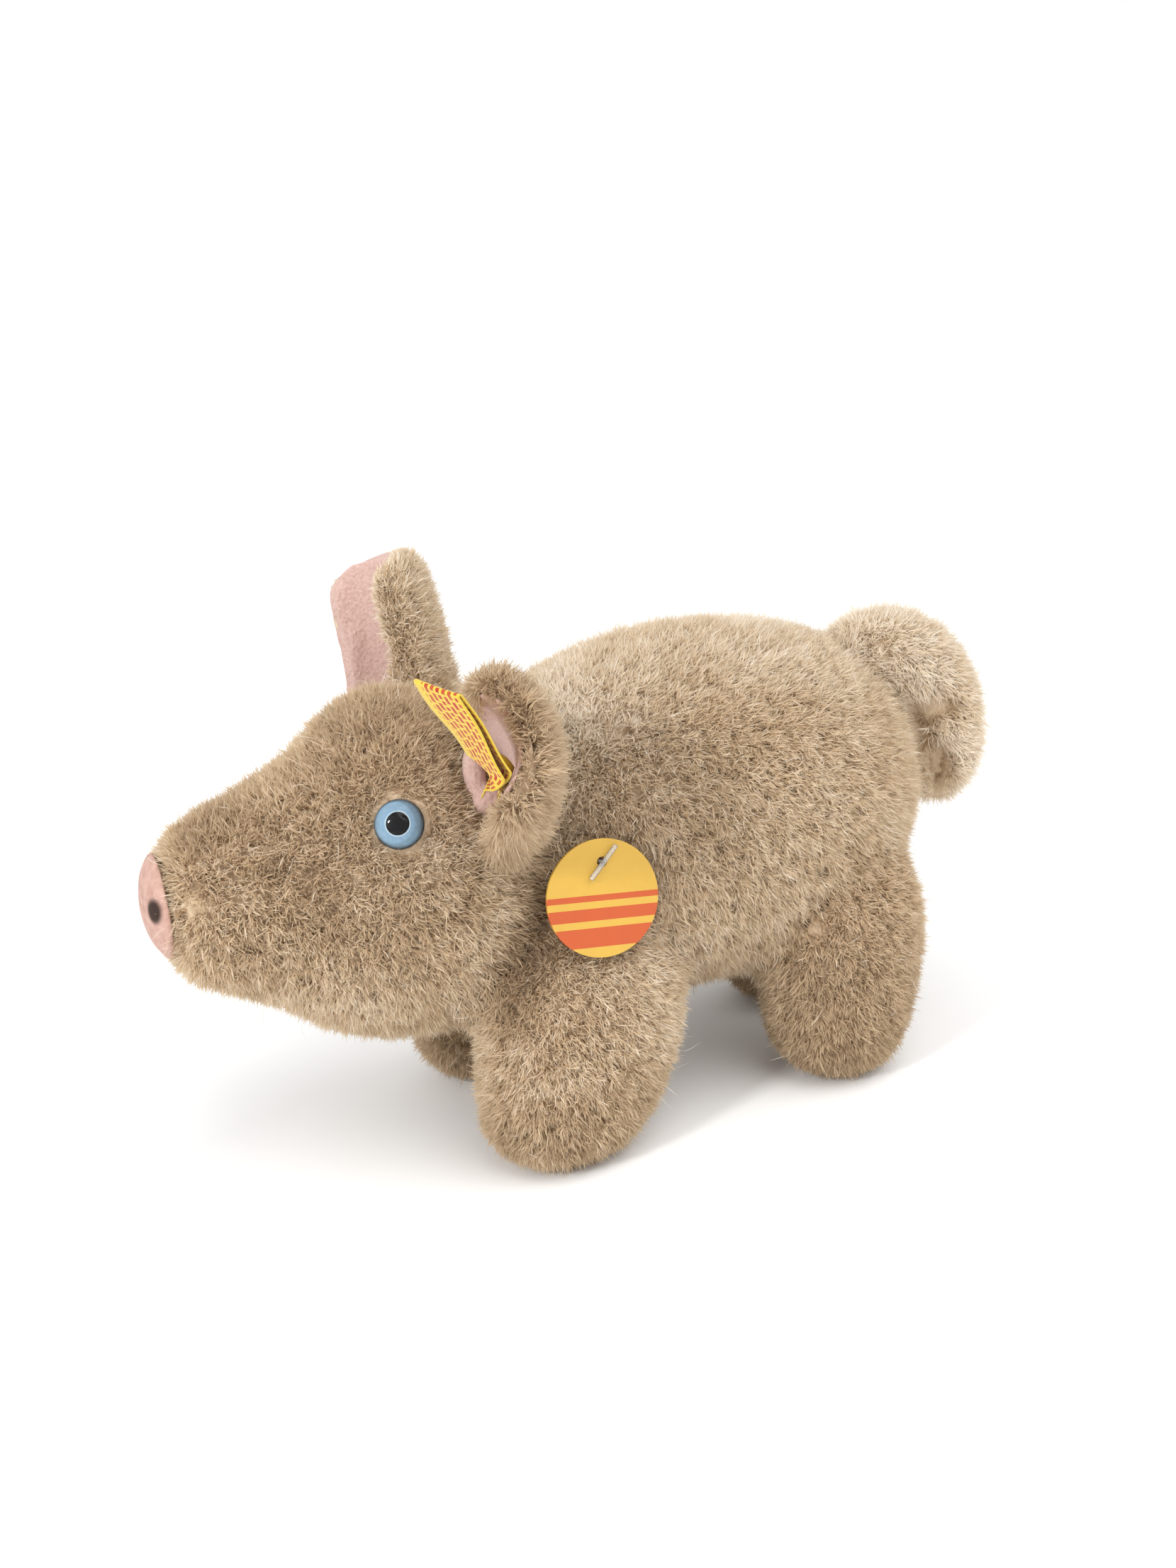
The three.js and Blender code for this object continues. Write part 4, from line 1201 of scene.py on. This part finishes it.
# Hardware: the brass rivet with its plate in the ear, and each eye's black shank and white
# washer, which lock inside the head. These are the CAD solids with worn metal and moulded
# plastic finishes.
brass = noisy_material(
    "worn_brass", (0.45, 0.29, 0.09, 1), (0.80, 0.58, 0.26, 1), 900, 0.1, 0.32, 0, 0.5
)
brass.node_tree.nodes["Principled BSDF"].inputs["Metallic"].default_value = 1
black = noisy_material(
    "black_plastic", (0.008, 0.008, 0.009, 1), (0.02, 0.02, 0.022, 1), 900, 0.1, 0.3, 0, 0.5
)
white = noisy_material(
    "white_plastic", (0.70, 0.70, 0.67, 1), (0.82, 0.82, 0.80, 1), 700, 0.15, 0.55, 0, 0.4
)
FINISHES = {
    "ear_button": brass,
    "ear_button_plate": brass,
    "left_eye_shank": black,
    "right_eye_shank": black,
    "left_eye_washer": white,
    "right_eye_washer": white,
}
for node, finish in FINISHES.items():
    nodes[node].material_slots[0].link = "OBJECT"
    nodes[node].material_slots[0].material = finish

# The stage: a plain white floor in an even white surround, with a wide soft sun from behind the
# camera's right shoulder.
FLOOR_SIDE = 6
SURROUND_LIGHT = 0.74
SUN_AZIMUTH = 120
SUN_ELEVATION = 55
SUN_SPREAD = math.radians(60)
SUN_STRENGTH = 1.7

bm = bmesh.new()
bmesh.ops.create_grid(bm, x_segments=1, y_segments=1, size=FLOOR_SIDE)
floor = add_object("floor", mesh_of(bm, "floor"))
floor_white, _, _ = new_material(
    "floor_white", Base_Color=(0.95, 0.95, 0.95, 1), Roughness=1, Specular_IOR_Level=0
)
floor.data.materials.append(floor_white)

world = bpy.data.worlds.new("studio")
bpy.context.scene.world = world
world.use_nodes = True
tree = world.node_tree
seen = add_node(tree, "LightPath").outputs
mirrored = math_node(tree, "MAXIMUM", seen["Is Glossy Ray"], seen["Is Transmission Ray"])
shown = math_node(tree, "MAXIMUM", seen["Is Camera Ray"], mirrored)
level = add_node(tree, "Mix", Factor=shown, A=SURROUND_LIGHT, B=1.0).outputs["Result"]
feed(tree, tree.nodes["Background"], WHITE, level)

sun_data = bpy.data.lights.new("key", "SUN")
sun_data.angle = SUN_SPREAD
sun_data.energy = SUN_STRENGTH
sun = add_object("key", sun_data)
sun.rotation_mode = "QUATERNION"
sun.rotation_quaternion = way_out(SUN_AZIMUTH, SUN_ELEVATION).to_track_quat("Z", "Y")

# A square soft box at the pig's front left fills the shade and gives the near eye its highlight.
BOX_SIDE = 125 * MM
BOX_DISTANCE = 0.9
BOX_POWER = 4.2
BOX_OUT = Vector((0.432, -0.767, 0.476))
box_data = bpy.data.lights.new("box", "AREA")
box_data.shape = "SQUARE"
box_data.size = BOX_SIDE
box_data.energy = BOX_POWER
box = add_object("box", box_data)
box.location = middle_of("left_eye_lens") + BOX_OUT * BOX_DISTANCE
box.rotation_mode = "QUATERNION"
box.rotation_quaternion = (-BOX_OUT).to_track_quat("-Z", "Y")

bpy.context.scene.view_settings.view_transform = "Standard"
